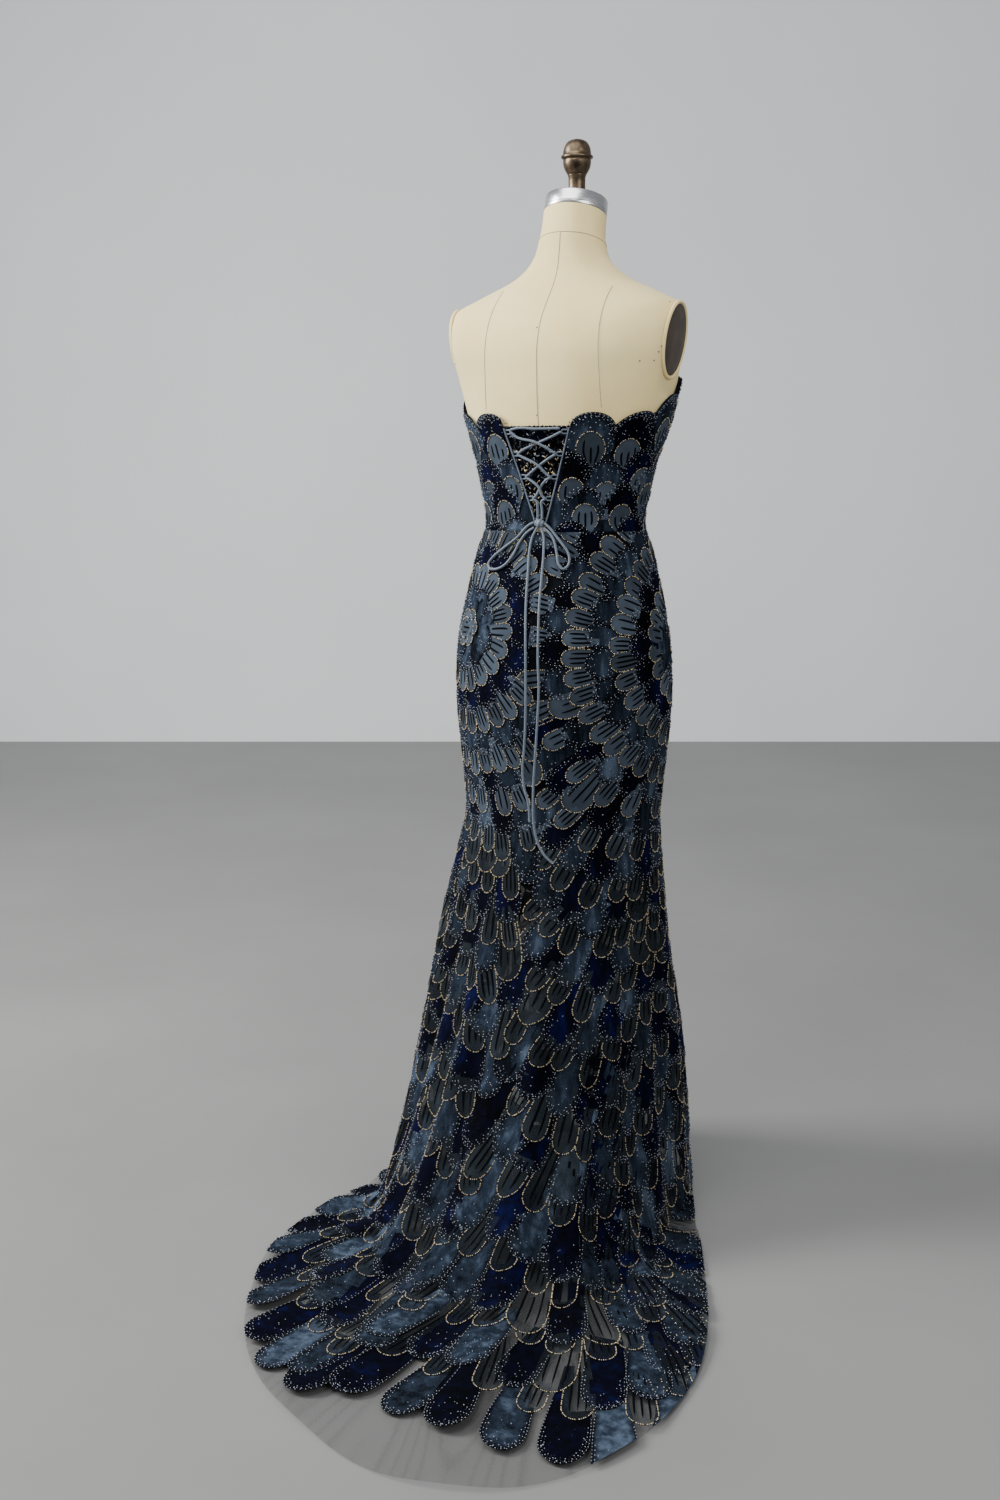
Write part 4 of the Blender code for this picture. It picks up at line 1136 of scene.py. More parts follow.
def make_bodice_cloth():
    """The bodice's three panels: side -1 and 1 have a laced edge, 0 is the front."""
    ends = np.array(SCALLOP_TURNS)
    for node, side, first, last in (
        ("bodice_back_left", 1, 17.5, 90.0), ("bodice_back_right", -1, 17.5, 90.0),
        ("bodice_front", 0, 90.0, 270.0),
    ):
        marks = np.concatenate((ends, 360 - ends))
        marks = marks[(marks > first) & (marks < last)]
        turns = np.linspace(first, last, 60 if side else 150)
        turns = np.unique(np.round(np.concatenate((turns, marks)), 3))
        outer = bodice_grid(turns, side, CLOTH)
        thing = wall(node + "_cloth", bodice_grid(turns, side, 0.0), outer, slate_velvet, "petal_tulle", node)
        set_values(thing, edge=0.0, tone=0.1)


# Petals

def profile(s, start):
    """Half width along a petal, from its base at 0 to its tip at 1, as a share of the widest."""
    widen = 0.36 + 0.64 * ease(s / start)
    tip = np.sqrt(np.clip(1 - ((s - start) / (1 - start)) ** 2, 0.0, 1.0))
    return np.where(s < start, widen, tip)


class Petals:
    """Petals on one sheet, as arrays of one value each, and the places that they cover."""

    def __init__(self, sheet, row, column, angle, length, width, kind, order, up):
        self.sheet, self.row, self.column = sheet, row, column
        self.angle, self.length, self.width = angle, length, width
        self.kind, self.order, self.up = kind, order, up
        self.count = len(row)
        self.tone = rng.random(self.count)
        self.bend = rng.normal(0, 0.10, self.count)
        # Where the round end starts, as a share of the length
        self.start = 1 - np.minimum(TIP_ROUNDNESS * width / 2 / length, TIP_MOST)
        self.trace()

    def trace(self):
        """Follows each petal from its tip to its base along the cloth."""
        steps = len(STATIONS)
        self.rows = np.zeros((self.count, steps))
        self.columns = np.zeros((self.count, steps))
        self.row_across = np.zeros((self.count, steps))
        self.column_across = np.zeros((self.count, steps))
        row, column = self.row.copy(), self.column.copy()
        sign = -1.0 if self.up else 1.0
        for k in range(steps - 1, -1, -1):
            angle = self.angle + self.bend * (1 - STATIONS[k])
            ahead, side = np.cos(angle) * sign, np.sin(angle)
            self.rows[:, k], self.columns[:, k] = row, column
            across = self.sheet.step(row, column, -side, ahead * sign)
            self.row_across[:, k], self.column_across[:, k] = across
            if k:
                d = (STATIONS[k] - STATIONS[k - 1]) * self.length
                r, c = self.sheet.step(row, column, -ahead * d * sign, -side * d)
                row, column = row + r, column + c

    def at_reach(self, petal, s, reach):
        """Row and column at share s along a petal and so many metres to its side."""
        k = np.interp(s, STATIONS, np.arange(len(STATIONS)))
        k0 = np.minimum(k.astype(int), len(STATIONS) - 2)
        f = k - k0
        out = []
        for line, across in ((self.rows, self.row_across), (self.columns, self.column_across)):
            centre = line[petal, k0] * (1 - f) + line[petal, k0 + 1] * f
            slope = across[petal, k0] * (1 - f) + across[petal, k0 + 1] * f
            out.append(centre + slope * reach)
        return out

    def half(self, petal, s):
        """Half width of a petal at share s of its length, in metres."""
        return profile(s, self.start[petal]) * self.width[petal] / 2

    def at(self, petal, s, u):
        """Row and column at share s along a petal and share u of its half width."""
        return self.at_reach(petal, s, u * self.half(petal, s))


def clip_skirt(sheet, row, column):
    """Keeps places between waist and hem, and says which were there already."""
    inside = (row > -0.15) & (row < sheet.rows + 0.15)
    return np.clip(row, 0.0, sheet.rows), column, inside


def clip_bodice(sheet, row, column):
    """Keeps places below the neckline and outside the laced opening, and says which were there."""
    turn = wrap(sheet.turn(column))
    shift = sheet.turn(column) - turn
    z = WAIST_Z + SEAM / 2 + (BODICE_TOP_Z - WAIST_Z) * np.clip(row, -1, sheet.rows) / sheet.rows
    side = np.where(turn > 0, 1.0, -1.0)
    edge = turn_of(lace_reach(z, side), z) + 0.4
    inside = (np.abs(turn) > edge) & (row > -0.1) & (z < neckline(side * np.maximum(np.abs(turn), edge)))
    turn = side * np.maximum(np.abs(turn), edge)
    top = np.minimum(z, neckline(turn) + 0.0006)
    row = (top - WAIST_Z - SEAM / 2) / (BODICE_TOP_Z - WAIST_Z) * sheet.rows
    return np.clip(row, 0.0, sheet.rows), sheet.column(turn + shift), inside


def cells(sheet, row, column):
    r = np.clip((row * CELLS_ROW).astype(int), 0, sheet.rows * CELLS_ROW)
    c = ((sheet.turn(column) + 180.0) * CELLS_TURN).astype(int) % (360 * CELLS_TURN)
    return r, c


def cover(petals, clip):
    """Which petal lies on top at each small cell of the sheet."""
    sheet = petals.sheet
    owner = np.full((sheet.rows * CELLS_ROW + 1, 360 * CELLS_TURN), -1, np.int32)
    down = np.linalg.norm(sheet.down, axis=-1)
    round_it = np.linalg.norm(sheet.round, axis=-1)
    tall = 0.8 * sheet.read(down, petals.rows[:, -1], petals.columns[:, -1]) / CELLS_ROW
    wide = 0.8 * np.minimum(
        sheet.read(round_it, petals.rows[:, -1], petals.columns[:, -1]),
        sheet.read(round_it, petals.rows[:, 12], petals.columns[:, 12]),
    ) * Sheet.PER_TURN / CELLS_TURN
    turned, straight = np.abs(np.sin(petals.angle)) + 0.1, np.abs(np.cos(petals.angle)) + 0.1
    along = np.clip(petals.length / np.minimum(tall / straight, wide / turned), 20, 420).astype(int)
    across = np.clip(petals.width / np.minimum(tall / turned, wide / straight), 12, 180).astype(int)
    for petal in np.argsort(-petals.order, kind="stable"):
        s, u = np.meshgrid(
            np.linspace(0.0, 0.997, along[petal]), np.linspace(-1, 1, across[petal]), indexing="ij")
        row, column, _ = clip(sheet, *petals.at(np.full(s.size, petal), s.ravel(), u.ravel()))
        owner[cells(sheet, row, column)] = petal
    return owner


def seen(owner, sheet, row, column, petal, reach=1):
    """Whether the petal is on top at or close to each place."""
    r, c = cells(sheet, row, column)
    found = np.zeros(r.shape, bool)
    for dr in range(-reach, reach + 1):
        for dc in range(-reach, reach + 1):
            rr = np.clip(r + dr * 2, 0, owner.shape[0] - 1)
            found |= owner[rr, (c + dc * 3) % owner.shape[1]] == petal
    return found


def lift(petals, petal, s, u):
    """How far a petal stands off the cloth: low at its base, high at its tip, lowest at its edges."""
    rise = 0.0003 + 0.0017 * s + 0.0003 * (petal % 2) + 0.0004 * (petals.kind[petal] == MESH)
    return rise + 0.0004 * (1 - u * u) * np.sin(pi * np.clip(s, 0.1, 1.0))


def petal_meshes(petals, owner, clip):
    """The petals' cloth: points, faces, and for each point its petal, tone, edge, and share of lining and
    painted shade.
    """
    start = petals.start[:, None]
    along = np.concatenate((MESH_BODY * start, start + (1 - start) * MESH_TIP), 1)
    steps, wide = along.shape[1], len(MESH_U)
    petal = np.repeat(np.arange(petals.count), steps * wide)
    s = np.repeat(along, wide, axis=1).ravel()
    u = np.tile(MESH_U, petals.count * steps)
    row, column, _ = clip(petals.sheet, *petals.at(petal, s, u))
    points = petals.sheet.place(row, column, lift(petals, petal, s, u))
    points[:, 2] = np.maximum(points[:, 2], 0.0018)
    faces = grid_faces(steps, wide)[None] + np.arange(petals.count)[:, None, None] * steps * wide
    faces = faces.reshape(-1, 4)
    faces = faces[seen(owner, petals.sheet, row, column, petal)[faces].any(1)]
    faces = drop_bad_faces(faces, points, wrap(petals.sheet.turn(column)), petals.up)
    net = petals.kind[petal] == MESH
    first = petals.start[petal]
    ahead = np.clip((s - first) / (1 - first), 0, 1)
    reach = np.where(s < first, np.abs(u), np.hypot(np.abs(u) * profile(s, first), ahead))
    from_rim = (1 - reach) * petals.width[petal] / 2
    edge = 1 - ease((from_rim - np.where(net, 0.0002, 0.0022)) / np.where(net, 0.0018, 0.0060))
    edge = np.where(net, edge, edge * ease((s - 0.35) / 0.35))
    return points, faces, petal, petals.tone[petal], edge, lining_share(points[:, 2])


def drop_bad_faces(faces, points, turns, up):
    """Leaves out faces that would bridge the laced opening, vanish or stretch."""
    turn = turns[faces]
    bridging = (turn.max(1) > 0) & (turn.min(1) < 0) & up & (np.abs(turn).max(1) < 60)
    faces = faces[~bridging]
    corner = points[faces]
    area = np.linalg.norm(np.cross(corner[:, 2] - corner[:, 0], corner[:, 3] - corner[:, 1]), axis=1)
    return faces[(area > 2e-8) & (area < 2e-3)]


def rim_lines(petals, chosen, inset, low):
    """For the chosen petals, the line round their edge at an inset in metres, from low to low."""
    numbers = np.where(chosen)[0]
    half, tall = petals.width[numbers, None] / 2, petals.length[numbers, None]
    start = petals.start[numbers, None]
    side = start * np.linspace(low, 1.0, 22)[None, :-1]
    arc = np.linspace(0, pi / 2, 18)[None, :]
    side_reach = half * profile(side, start) - inset
    arc_s = start + ((1 - start) - inset / tall) * np.sin(arc)
    arc_reach = (half - inset) * np.cos(arc)
    s = np.concatenate((side + 0 * half, arc_s), 1)
    reach = np.concatenate((side_reach, arc_reach), 1)
    s = np.concatenate((s, s[:, -2::-1]), 1)
    reach = np.concatenate((reach, -reach[:, -2::-1]), 1)
    return numbers, s, reach


def bead_places(petals, owner, clip, bead_row, chosen):
    """Even places round the shown edges of the chosen petals: points, normals, turn in the row."""
    spacing, inset, low = bead_row
    spots, outs, turns = [], [], []
    sheet = petals.sheet
    numbers, s, reach = rim_lines(petals, chosen, inset, low)
    index = np.broadcast_to(numbers[:, None], s.shape)
    row, column = petals.at_reach(index, s, reach)
    line = sheet.read(sheet.points, *clip(sheet, row, column)[:2])
    for i, petal in enumerate(numbers):
        length = lengths_along(line[i])
        wanted = np.arange(spacing / 2, length[-1], spacing)
        if not len(wanted):
            continue
        at_s, at_reach = np.interp(wanted, length, s[i]), np.interp(wanted, length, reach[i])
        whole = np.full(at_s.shape, petal)
        r, c, inside = clip(sheet, *petals.at_reach(whole, at_s, at_reach))
        closer = np.sign(at_reach) * np.maximum(np.abs(at_reach) - 0.0016, 0.0)
        checked = clip(sheet, *petals.at_reach(whole, at_s - 0.0016 / petals.length[petal], closer))
        here = seen(owner, sheet, checked[0], checked[1], petal, 0) & inside
        r, c, at_s, at_reach, whole = r[here], c[here], at_s[here], at_reach[here], whole[here]
        u = np.clip(at_reach / np.maximum(petals.half(whole, at_s), 0.002), -1, 1)
        spots.append(sheet.place(r, c, lift(petals, whole, at_s, u)))
        outs.append(sheet.read(sheet.normals, r, c))
        turns.append(np.where(here)[0])
    return np.concatenate(spots), np.concatenate(outs), np.concatenate(turns)


def loose_places(petals, owner, clip, chosen):
    """Loose beads over the chosen petals' round ends, closest at the tips: points and normals."""
    amount = petals.width ** 2 * LOOSE_BEADS_PER_AREA * rng.uniform(0.7, 1.3, petals.count)
    petal = np.repeat(np.where(chosen)[0], amount.astype(int)[chosen])
    inward = 0.004 + 1.1 * petals.width[petal] * rng.random(len(petal)) ** 1.6
    s = 1 - inward / petals.length[petal]
    u = rng.uniform(-0.85, 0.85, len(petal))
    row, column, inside = clip(petals.sheet, *petals.at(petal, s, u))
    here = seen(owner, petals.sheet, row, column, petal, 0) & inside
    row, column, s, u, petal = row[here], column[here], s[here], u[here], petal[here]
    spots = petals.sheet.place(row, column, lift(petals, petal, s, u))
    return spots, petals.sheet.read(petals.sheet.normals, row, column)


def rib_parts(petals, owner, clip, chosen):
    """Raised ribs of thread along the chosen petals: points and faces."""
    marks = np.linspace(0.0, 1.0, 13)
    half = RIB_HALF * np.sqrt(np.clip(1 - (2 * marks - 1) ** 6, 0.05, 1))
    quads = grid_faces(len(marks), 3)
    parts = []
    for petal in np.where(chosen)[0]:
        wide = petals.width[petal]
        count = int(rng.integers(2, 4)) if wide < 0.036 else 3
        ends = 1 - wide * rng.uniform(0.28, 0.55, count) / petals.length[petal]
        starts = rng.uniform(0.15, 0.42, count)
        for line in range(count):
            centre = (line - (count - 1) / 2) / (count / 2) * 0.72
            s = starts[line] + (ends[line] - starts[line]) * marks
            share = half / petals.half(np.full(s.shape, petal), s)
            u = (centre + share[:, None] * np.array((-1, 0, 1))).ravel()
            s = np.repeat(s, 3)
            index = np.full(s.shape, petal)
            row, column, inside = clip(petals.sheet, *petals.at(index, s, u))
            here = (seen(owner, petals.sheet, row, column, petal) & inside).reshape(-1, 3)[:, 1]
            off = lift(petals, index, s, u) + np.tile((0.0, RIB_RISE, 0.0), len(marks)) + 0.0003
            shown = quads[np.repeat(here, 3)[quads].all(1)]
            if len(shown):
                parts.append((petals.sheet.place(row, column, off), shown))
    return joined(parts)


class Ring:
    """The line that the tips of one ring of petals touch, round one centre."""

    def __init__(self, focus, radius, full):
        focus_turn, focus_z, first, last = focus
        column = int(skirt.column(focus_turn))
        focus_row = (WAIST_Z - focus_z) / (WAIST_Z - KNEE_Z) * UPPER
        start = float(np.interp(focus_row, np.arange(UPPER + 1), skirt.lengths[: UPPER + 1, column]))
        half_round = radians(last - first + 40) * ROUND_REACH
        widest = pi if radius < 0.40 else np.arcsin(min(1.0, half_round / radius))
        self.angle = np.linspace(-widest, widest, 1600)
        reach = np.full(self.angle.shape, radius)
        for _ in range(10):
            turn = focus_turn + np.degrees(reach * np.sin(self.angle) / ROUND_REACH)
            room = seam_room(wrap(turn)) - start
            stretch = 1 + (full / room - 1) * ease(reach / room)
            reach = 0.5 * reach + 0.5 * radius / stretch
        self.reach = reach
        along = start + reach * np.cos(self.angle)
        self.row = row_at(skirt, wrap(turn), along)
        self.column = skirt.column(wrap(turn))
        past = PAST_EDGE_NEAR + (PAST_EDGE_FAR - PAST_EDGE_NEAR) * ease((reach - 0.25) / 0.3)
        self.inside = (turn >= first - past) & (turn < last + past) & (along > -0.03)
        points = skirt.read(skirt.plain, self.row, self.column)
        steps = np.linalg.norm(np.diff(points, axis=0), axis=1)
        steps[~(self.inside[1:] & self.inside[:-1])] = 0.0
        self.line = np.concatenate(([0.0], np.cumsum(steps)))
        self.length = self.line[-1]

    def places(self, shares):
        """Indices into the ring's arrays for shares of its length, where the ring has cloth."""
        at = np.interp(shares * self.length, self.line, np.arange(len(self.line)))
        return np.clip(at.astype(int), 0, len(self.line) - 1)

    def petal(self, k, length, width, kind):
        """A petal's row, column, angle, length, width, kind and reach."""
        return self.row[k], self.column[k], self.angle[k], length, width, kind, self.reach[k]


def ring_petals(focus, number, radius, full):
    """One ring of velvet petals, and the net petals nested in it."""
    period, spacing, velvet_wide, net_wide, back = smooth(PETAL_SIZES, radius)
    found = []
    ring = Ring(focus, radius, full)
    count = max(int(round(ring.length / spacing)), 1)
    begin = 0.25 if number % 2 else 0.75
    shares = (np.arange(count) + begin + rng.normal(0, 0.07, count)) / count
    for place, k in enumerate(ring.places(shares)):
        if ring.inside[k]:
            kind = (SLATE, NAVY)[(number if number < 3 else place + number // 2) % 2]
            if number >= 3 and rng.random() < 0.24:
                kind = (NAVY, SLATE, MESH)[rng.integers(0, 3)]
            length = period * VELVET_LONG * (ring.reach[k] / radius)
            found.append(ring.petal(k, length, velvet_wide, kind))
    inner = Ring(focus, radius - back * (1.0 if number else 1.05), full)
    if radius < OWN_NET_PLACES_WITHIN:
        count = max(int(round(inner.length / (net_wide * NET_SPACING))), 5)
        shares = (np.arange(count) + 0.5 + rng.normal(0, 0.05, count)) / count
    else:
        shares = shares + rng.normal(0, 0.09, count) / count
    for k in inner.places(shares):
        if inner.inside[k]:
            length = period * NET_LONG * (inner.reach[k] / radius)
            found.append(inner.petal(k, length, net_wide, MESH))
    return found


def skirt_petals():
    """Rings of velvet petals round the centres, with net petals nested in them, out to the hem."""
    full = float(seam_room(np.array([-14.0]))[0]) - 0.16
    radii = [FIRST_RING]
    while radii[-1] < full - 0.05:
        radii.append(radii[-1] + float(smooth(PETAL_SIZES, radii[-1])[0]))
    radii = np.array(radii) * full / radii[-1]
    found = []
    for focus in FOCI:
        for number, radius in enumerate(radii):
            found += ring_petals(focus, number, radius, full)
    row, column, angle, length, width, kind, reach = np.array(found).T
    count = len(row)
    far = ease(reach / 0.5)
    length = length * rng.uniform(0.95, 1.15, count)
    width = width * rng.uniform(0.93, 1.09, count)
    angle = angle + rng.normal(0, 0.05, count) * (0.5 + far)
    row = row + rng.normal(0, 0.45, count) * far * (row < skirt.rows - 5)
    return Petals(skirt, row, column, angle, length, width, kind.astype(int), reach, False)


def bodice_petals():
    """Rows of petals that point up the bodice, the top row on the scallops."""
    ends = np.array(SCALLOP_TURNS)
    middles = (ends[:-1] + ends[1:]) / 2
    joints = np.concatenate(([21.0], ends[1:]))
    rows = [(True, number, row) for number, row in enumerate(BODICE_VELVET)]
    rows += [(False, number, row) for number, row in enumerate(BODICE_NET)]
    found = []
    for side in (1, -1):
        for velvet, number, (depth, tall, share) in rows:
            for place, turn in enumerate(joints if number % 2 else middles):
                if side < 0 and turn > 179.0:
                    continue
                z = float(neckline(np.array(turn))) - depth + (0.012 if turn in ends else 0.0)
                if depth:
                    z += rng.normal(0, 0.0025)
                    turn = turn + rng.normal(0, 1.2)
                if z < WAIST_Z + 0.012:
                    continue
                wide = SCALLOP_SPAN * np.interp(z, *BODICE_ROUND) * share
                kind = (SLATE, NAVY)[(place + number + (side > 0)) % 2] if velvet else MESH
                found.append((z, side * turn, tall, wide, kind, -depth))
    z, turn, length, width, kind, order = np.array(found).T
    row = (z - WAIST_Z) / (BODICE_TOP_Z - WAIST_Z) * bodice.rows
    angle = rng.normal(0, 0.05, len(z)) * (order < 0)
    return Petals(bodice, row, bodice.column(turn), angle, length, width, kind.astype(int), order, True)


def petal_piece(kind, name, skin, slot, layers):
    """All petals of one kind as one piece."""
    parts, values = [], []
    for petals, (points, faces, petal, *numbers) in layers:
        chosen = faces[petals.kind[petal[faces[:, 0]]] == kind]
        used, inverse = np.unique(chosen, return_inverse=True)
        parts.append((points[used], inverse.reshape(-1, 4)))
        values.append([number[used] for number in numbers])
    thing = add_mesh(name, *joined(parts), skin, slot)
    tone, edge, lining = [np.concatenate(number) for number in zip(*values)]
    set_values(thing, tone=tone, edge=edge, lining=lining)


def rim_of_neckline():
    """Rows of beads that follow the scalloped top edge: points and directions outward."""
    spots, outs = [], []
    turns = np.linspace(SCALLOP_TURNS[0] + 0.6, 360 - SCALLOP_TURNS[0] - 0.6, 4000)
    for inset, spacing in NECKLINE_ROWS:
        z = neckline(turns) - inset
        length = lengths_along(form_points(turns, z, cloth_gap(turns, z) + CLOTH))
        at = np.interp(np.arange(0, length[-1], spacing), length, turns)
        z = neckline(at) - inset
        place = form_points(at, z, cloth_gap(at, z) + CLOTH + NECKLINE_BEADS_OUT)
        spots.append(place)
        outs.append(place - form_points(at, z, 0.0))
    return np.concatenate(spots), np.concatenate(outs)


def gathered(rows):
    return [np.concatenate(column) for column in zip(*rows)]


def dress_petals():
    """The petals of skirt and bodice with their ribs and beads, joined by kind."""
    groups = ((skirt_petals(), clip_skirt), (bodice_petals(), clip_bodice))
    layers, ribs, chain, rim, loose = [], [], [], [], []
    for petals, clip in groups:
        owner = cover(petals, clip)
        net = petals.kind == MESH
        layers.append((petals, petal_meshes(petals, owner, clip)))
        ribs.append(rib_parts(petals, owner, clip, net))
        chain.append(bead_places(petals, owner, clip, CHAIN_ROW, net))
        rim += [bead_places(petals, owner, clip, bead_row, ~net) for bead_row in RIM_ROWS]
        loose.append(loose_places(petals, owner, clip, ~net))
    petal_piece(SLATE, "petals_slate", slate_velvet, "slate_velvet", layers)
    petal_piece(NAVY, "petals_navy", navy_velvet, "navy_velvet", layers)
    petal_piece(MESH, "petals_net", petal_net, "petal_tulle", layers)
    add_mesh("net_petal_ribs", *joined(ribs), black_thread, "petal_tulle")
    make_petal_beads(gathered(chain), gathered(rim), gathered(loose))


def make_petal_beads(chain, rim, loose):
    """Gold chains round the net petals, and dark and silver beads on the velvet ones."""
    spots, outs, turns = chain
    for name, places, radius, skin in (
        ("gold", (0, 2, 4), 0.00112, gold_bead), ("dark", (1,), 0.00095, dark_bead),
        ("silver", (3,), 0.00095, silver_bead),
    ):
        chosen = np.isin(turns % 5, places)
        beads("edge_beads_" + name, spots[chosen], outs[chosen], radius, skin)
    spots, outs, turns = rim
    more, more_outs = rim_of_neckline()
    spots = np.concatenate((spots, more))
    outs = np.concatenate((outs, more_outs))
    bright = np.concatenate((turns, np.arange(len(more)))) % 2 == 0
    beads("rim_beads_silver", spots[bright], outs[bright], 0.00085, silver_bead)
    beads("rim_beads_dark", spots[~bright], outs[~bright], 0.00115, dark_bead)
    spots, outs = loose
    bright = rng.random(len(spots)) < 0.55
    size = rng.uniform(0.0006, 0.0010, len(spots))
    beads("loose_beads_silver", spots[bright], outs[bright], size[bright], silver_bead)
    beads("loose_beads_dark", spots[~bright], outs[~bright], size[~bright] * 1.1, dark_bead)


# Modesty panel and piping

def make_modesty():
    """The panel behind the lacing, closed and wider than the opening."""
    share = np.linspace(0, 1, 24)[:, None]
    z = MODESTY_LOW_Z + (MODESTY_HIGH_Z - MODESTY_LOW_Z) * share
    right = turn_of(-lace_reach(z, -1) - MODESTY_LAP, z)
    left = turn_of(lace_reach(z, 1) + MODESTY_LAP, z)
    turns = right + (left - right) * np.linspace(0, 1, 40)[None, :]
    z = np.broadcast_to(z, turns.shape)
    inner = form_points(turns, z, MODESTY_GAP)
    outer = form_points(turns, z, MODESTY_GAP + MODESTY_CLOTH)
    thing = wall("modesty_net", inner, outer, navy_velvet, "sequin_mesh", "modesty_panel")
    set_values(thing, tone=0.0, edge=0.0)


def make_modesty_beads():
    """Rod beads all over the panel, and a row of round ones along its top."""
    top = MODESTY_GAP + MODESTY_CLOTH
    for kind, count, skin in (
        ("gold", 75, gold_bead), ("dark", 480, dark_bead), ("silver", 45, silver_bead),
    ):
        height = rng.uniform(MODESTY_LOW_Z + 0.004, MODESTY_HIGH_Z - 0.002, count)
        x = rng.uniform(-1, 1, count) * (lace_reach(height, np.ones(count)) + 0.002)
        spots = form_points(turn_of(x, height), height, top)
        turns = rng.choice((0.7, -0.7), count) + rng.normal(0, 0.25, count)
        bugles("modesty_bugles_" + kind, spots, spots * (1, 1, 0), turns, 0.0021, 0.00055, skin)
    x = np.arange(-0.048, 0.057, 0.0021)
    height = MODESTY_HIGH_Z + rng.uniform(-0.0022, 0.0006, len(x))
    spots = form_points(turn_of(x, height), height, top)
    outs = spots * (1, 1, 0)
    bright = np.arange(len(x)) % 3 == 0
    beads("modesty_edge_silver", spots[bright], outs[bright], 0.0009, silver_bead)
    beads("modesty_edge_dark", spots[~bright], outs[~bright], 0.0012, dark_bead)


def make_piping():
    """Piping down both laced edges and round the waist seam."""
    heights = np.linspace(LACE_LOW_Z, LACE_HIGH_Z, 60)
    off = cloth_gap(0.0, heights) + CLOTH + 0.0004
    routes = []
    for side in (1, -1):
        x = side * (lace_reach(heights, side) + 0.0004)
        routes.append(form_points(turn_of(x, heights, off), heights, off))
    piping("lace_edge_piping", routes, 0.0012, cord_skin, "slate_cord")
    turns = np.linspace(-180, 180, 241)
    off = cloth_gap(turns, WAIST_Z) + CLOTH + 0.0006
    piping("waist_seam_piping", [form_points(turns, WAIST_Z, off)], 0.0011, black_thread, "navy_velvet")


# The form

def make_form():
    """The linen body, from a little under the knee's height up to the neck's top."""
    low = WAIST_Z - SEAM / 2 - (WAIST_Z - SEAM / 2 - KNEE_Z) * 7 / 8
    heights = np.concatenate((
        np.linspace(low, 1.05, 30), np.linspace(1.06, 1.34, 34), np.linspace(1.345, NECK_TOP_Z, 44)))
    turns = np.linspace(-180, 180, 145)[:-1]
    made = [form_surface(turns, np.full(turns.shape, z)) for z in heights]
    rings("form_torso_linen", made, linen, "form_linen", "form_torso")


def make_form_seams():
    """The linen's seams down the back and round the neck, and its pin marks."""
    routes = [form_surface(np.zeros(90), np.linspace(1.10, NECK_SEAM_Z, 90))]
    heights = np.linspace(*PRINCESS_Z, 60)
    for side in (1, -1):
        routes.append(form_surface(turn_of(side * np.linspace(*PRINCESS_X, 60), heights), heights))
    routes.append(form_surface(np.linspace(-180, 180, 121), np.full(121, NECK_SEAM_Z)))
    piping("form_seams", routes, 0.0007, linen_seam, "form_linen")
    spots = np.array([form_surface(turn_of(x, z), np.array(z)) for x, z in PIN_HOLES])
    outs = unit(spots * (0.4, 1, 0))
    beads("form_pin_holes", spots - outs * 0.0014, outs, PIN_MARK, plate_skin, "form_linen")


def oval(place, off, inset):
    """A ring round an arm's opening, so far off it and so far inside its edge."""
    angles = np.linspace(0, 2 * pi, 72, endpoint=False)
    flat = np.stack((
        (ARM_HEIGHT / 2 - inset) * np.cos(angles), (ARM_WIDTH / 2 - inset) * np.sin(angles),
        np.full(72, off), np.ones(72)), -1)
    return (flat @ np.array(place).T)[:, :3]


def make_arm_plates():
    """Brown boards in the arm openings, with the linen turned over round them."""
    middle_z = (ARM_LOW_Z + ARM_HIGH_Z) / 2
    middle_x = ARM_LOW_X + (middle_z - ARM_LOW_Z) * tan(ARM_LEAN)
    for node, side in (("arm_plate_left", 1), ("arm_plate_right", -1)):
        place = Matrix.Translation((side * middle_x, ARM_CENTRE_Y, middle_z))
        place = place @ Matrix.Rotation(side * (pi / 2 + ARM_LEAN), 4, "Y")
        board = [oval(place, off, inset) for off, inset in ARM_BOARD]
        rings(node + "_board", board, plate_skin, "arm_plate", node)
        rim = [oval(place, off, inset) for off, inset in ARM_RIM]
        rings(node + "_rim", rim, linen, "form_linen")


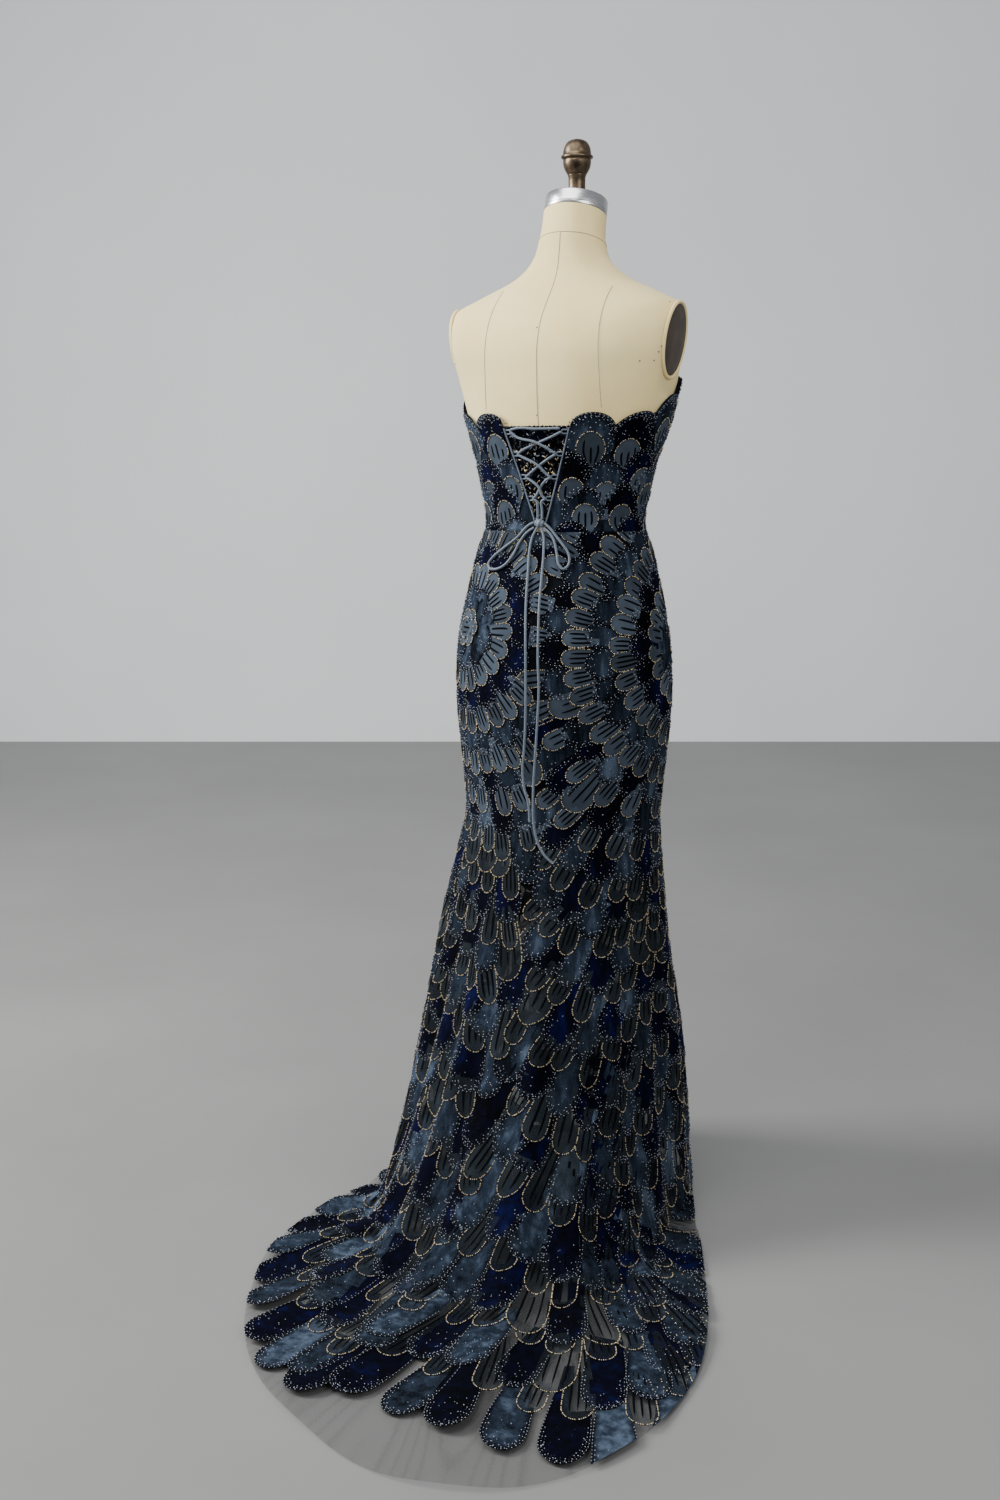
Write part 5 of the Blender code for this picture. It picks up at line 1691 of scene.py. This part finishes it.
def make_cap_and_knob():
    """The steel cap, tilted with the neck, and the upright knob that stands on it."""
    centre = np.array((0.0, smooth(FORM_SECTIONS, NECK_TOP_Z)[3], NECK_TOP_Z))
    lathe("neck_cap_steel", CAP_OUTLINE, centre, NECK_LEAN, steel, "neck_steel", "neck_cap")
    lean = np.array(Matrix.Rotation(NECK_LEAN, 3, "X"))
    rise = KNOB_OUTLINE[0][1] * np.sin(NECK_LEAN) + SEAM
    foot = centre + lean @ np.array((0, 0, CAP_HEIGHT)) + np.array((0, 0, rise))
    lathe("knob_turned", KNOB_OUTLINE, foot, 0.0, bronze, "knob_bronze", "knob")


# Floor, backdrop and light

def plain_sheet(name, corners, skin):
    mesh = bpy.data.meshes.new(name)
    mesh.from_pydata(corners, [], [(0, 1, 2, 3)])
    mesh.materials.append(skin)
    thing = bpy.data.objects.new(name, mesh)
    bpy.context.scene.collection.objects.link(thing)


def make_stage():
    plain_sheet("floor", [(-11, -9, 0), (11, -9, 0), (11, 8, 0), (-11, 8, 0)], floor_skin)
    away, half, height = BACKDROP
    along = np.array((LOOK[1], -LOOK[0])) * half
    far = np.array(LOOK) * away
    corners = ((-1, -0.01), (1, -0.01), (1, height), (-1, height))
    plain_sheet("backdrop", [(*(far + side * along), z) for side, z in corners], wall_skin)


def area_light(name, place, target, size, power):
    data = bpy.data.lights.new(name, "AREA")
    data.shape = "RECTANGLE"
    data.size, data.size_y = size
    data.energy = power
    lamp = bpy.data.objects.new(name, data)
    lamp.location = place
    lamp.rotation_euler = (Vector(target) - Vector(place)).to_track_quat("-Z", "Y").to_euler()
    bpy.context.scene.collection.objects.link(lamp)


def make_light():
    area_light("key", (3.2, 1.5, 2.6), (0, 0.2, 0.7), (1.2, 2.0), 300)
    area_light("fill", (-3.2, 2.2, 2.4), (0, 0.2, 0.8), (2.0, 2.0), 80)
    area_light("top", (0.2, 1.6, 3.4), (0, 0.2, 0.5), (2.4, 1.6), 72)
    world = bpy.data.worlds.new("world")
    bpy.context.scene.world = world
    world.use_nodes = True
    background = world.node_tree.nodes["Background"]
    background.inputs["Color"].default_value = (0.92, 0.95, 1.0, 1.0)
    background.inputs["Strength"].default_value = 0.38


# Everything in order: the camera and the cords first

make_camera()
make_cords()
skirt = skirt_sheet()
bodice = bodice_sheet()
make_form()
make_form_seams()
make_skirt_cloth()
make_bodice_cloth()
dress_petals()
make_modesty()
make_modesty_beads()
make_piping()
for stand_node in ("stand_pole", "stand_base"):
    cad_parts[stand_node].material_slots[0].material = stand_metal
make_arm_plates()
make_cap_and_knob()
make_stage()
make_light()
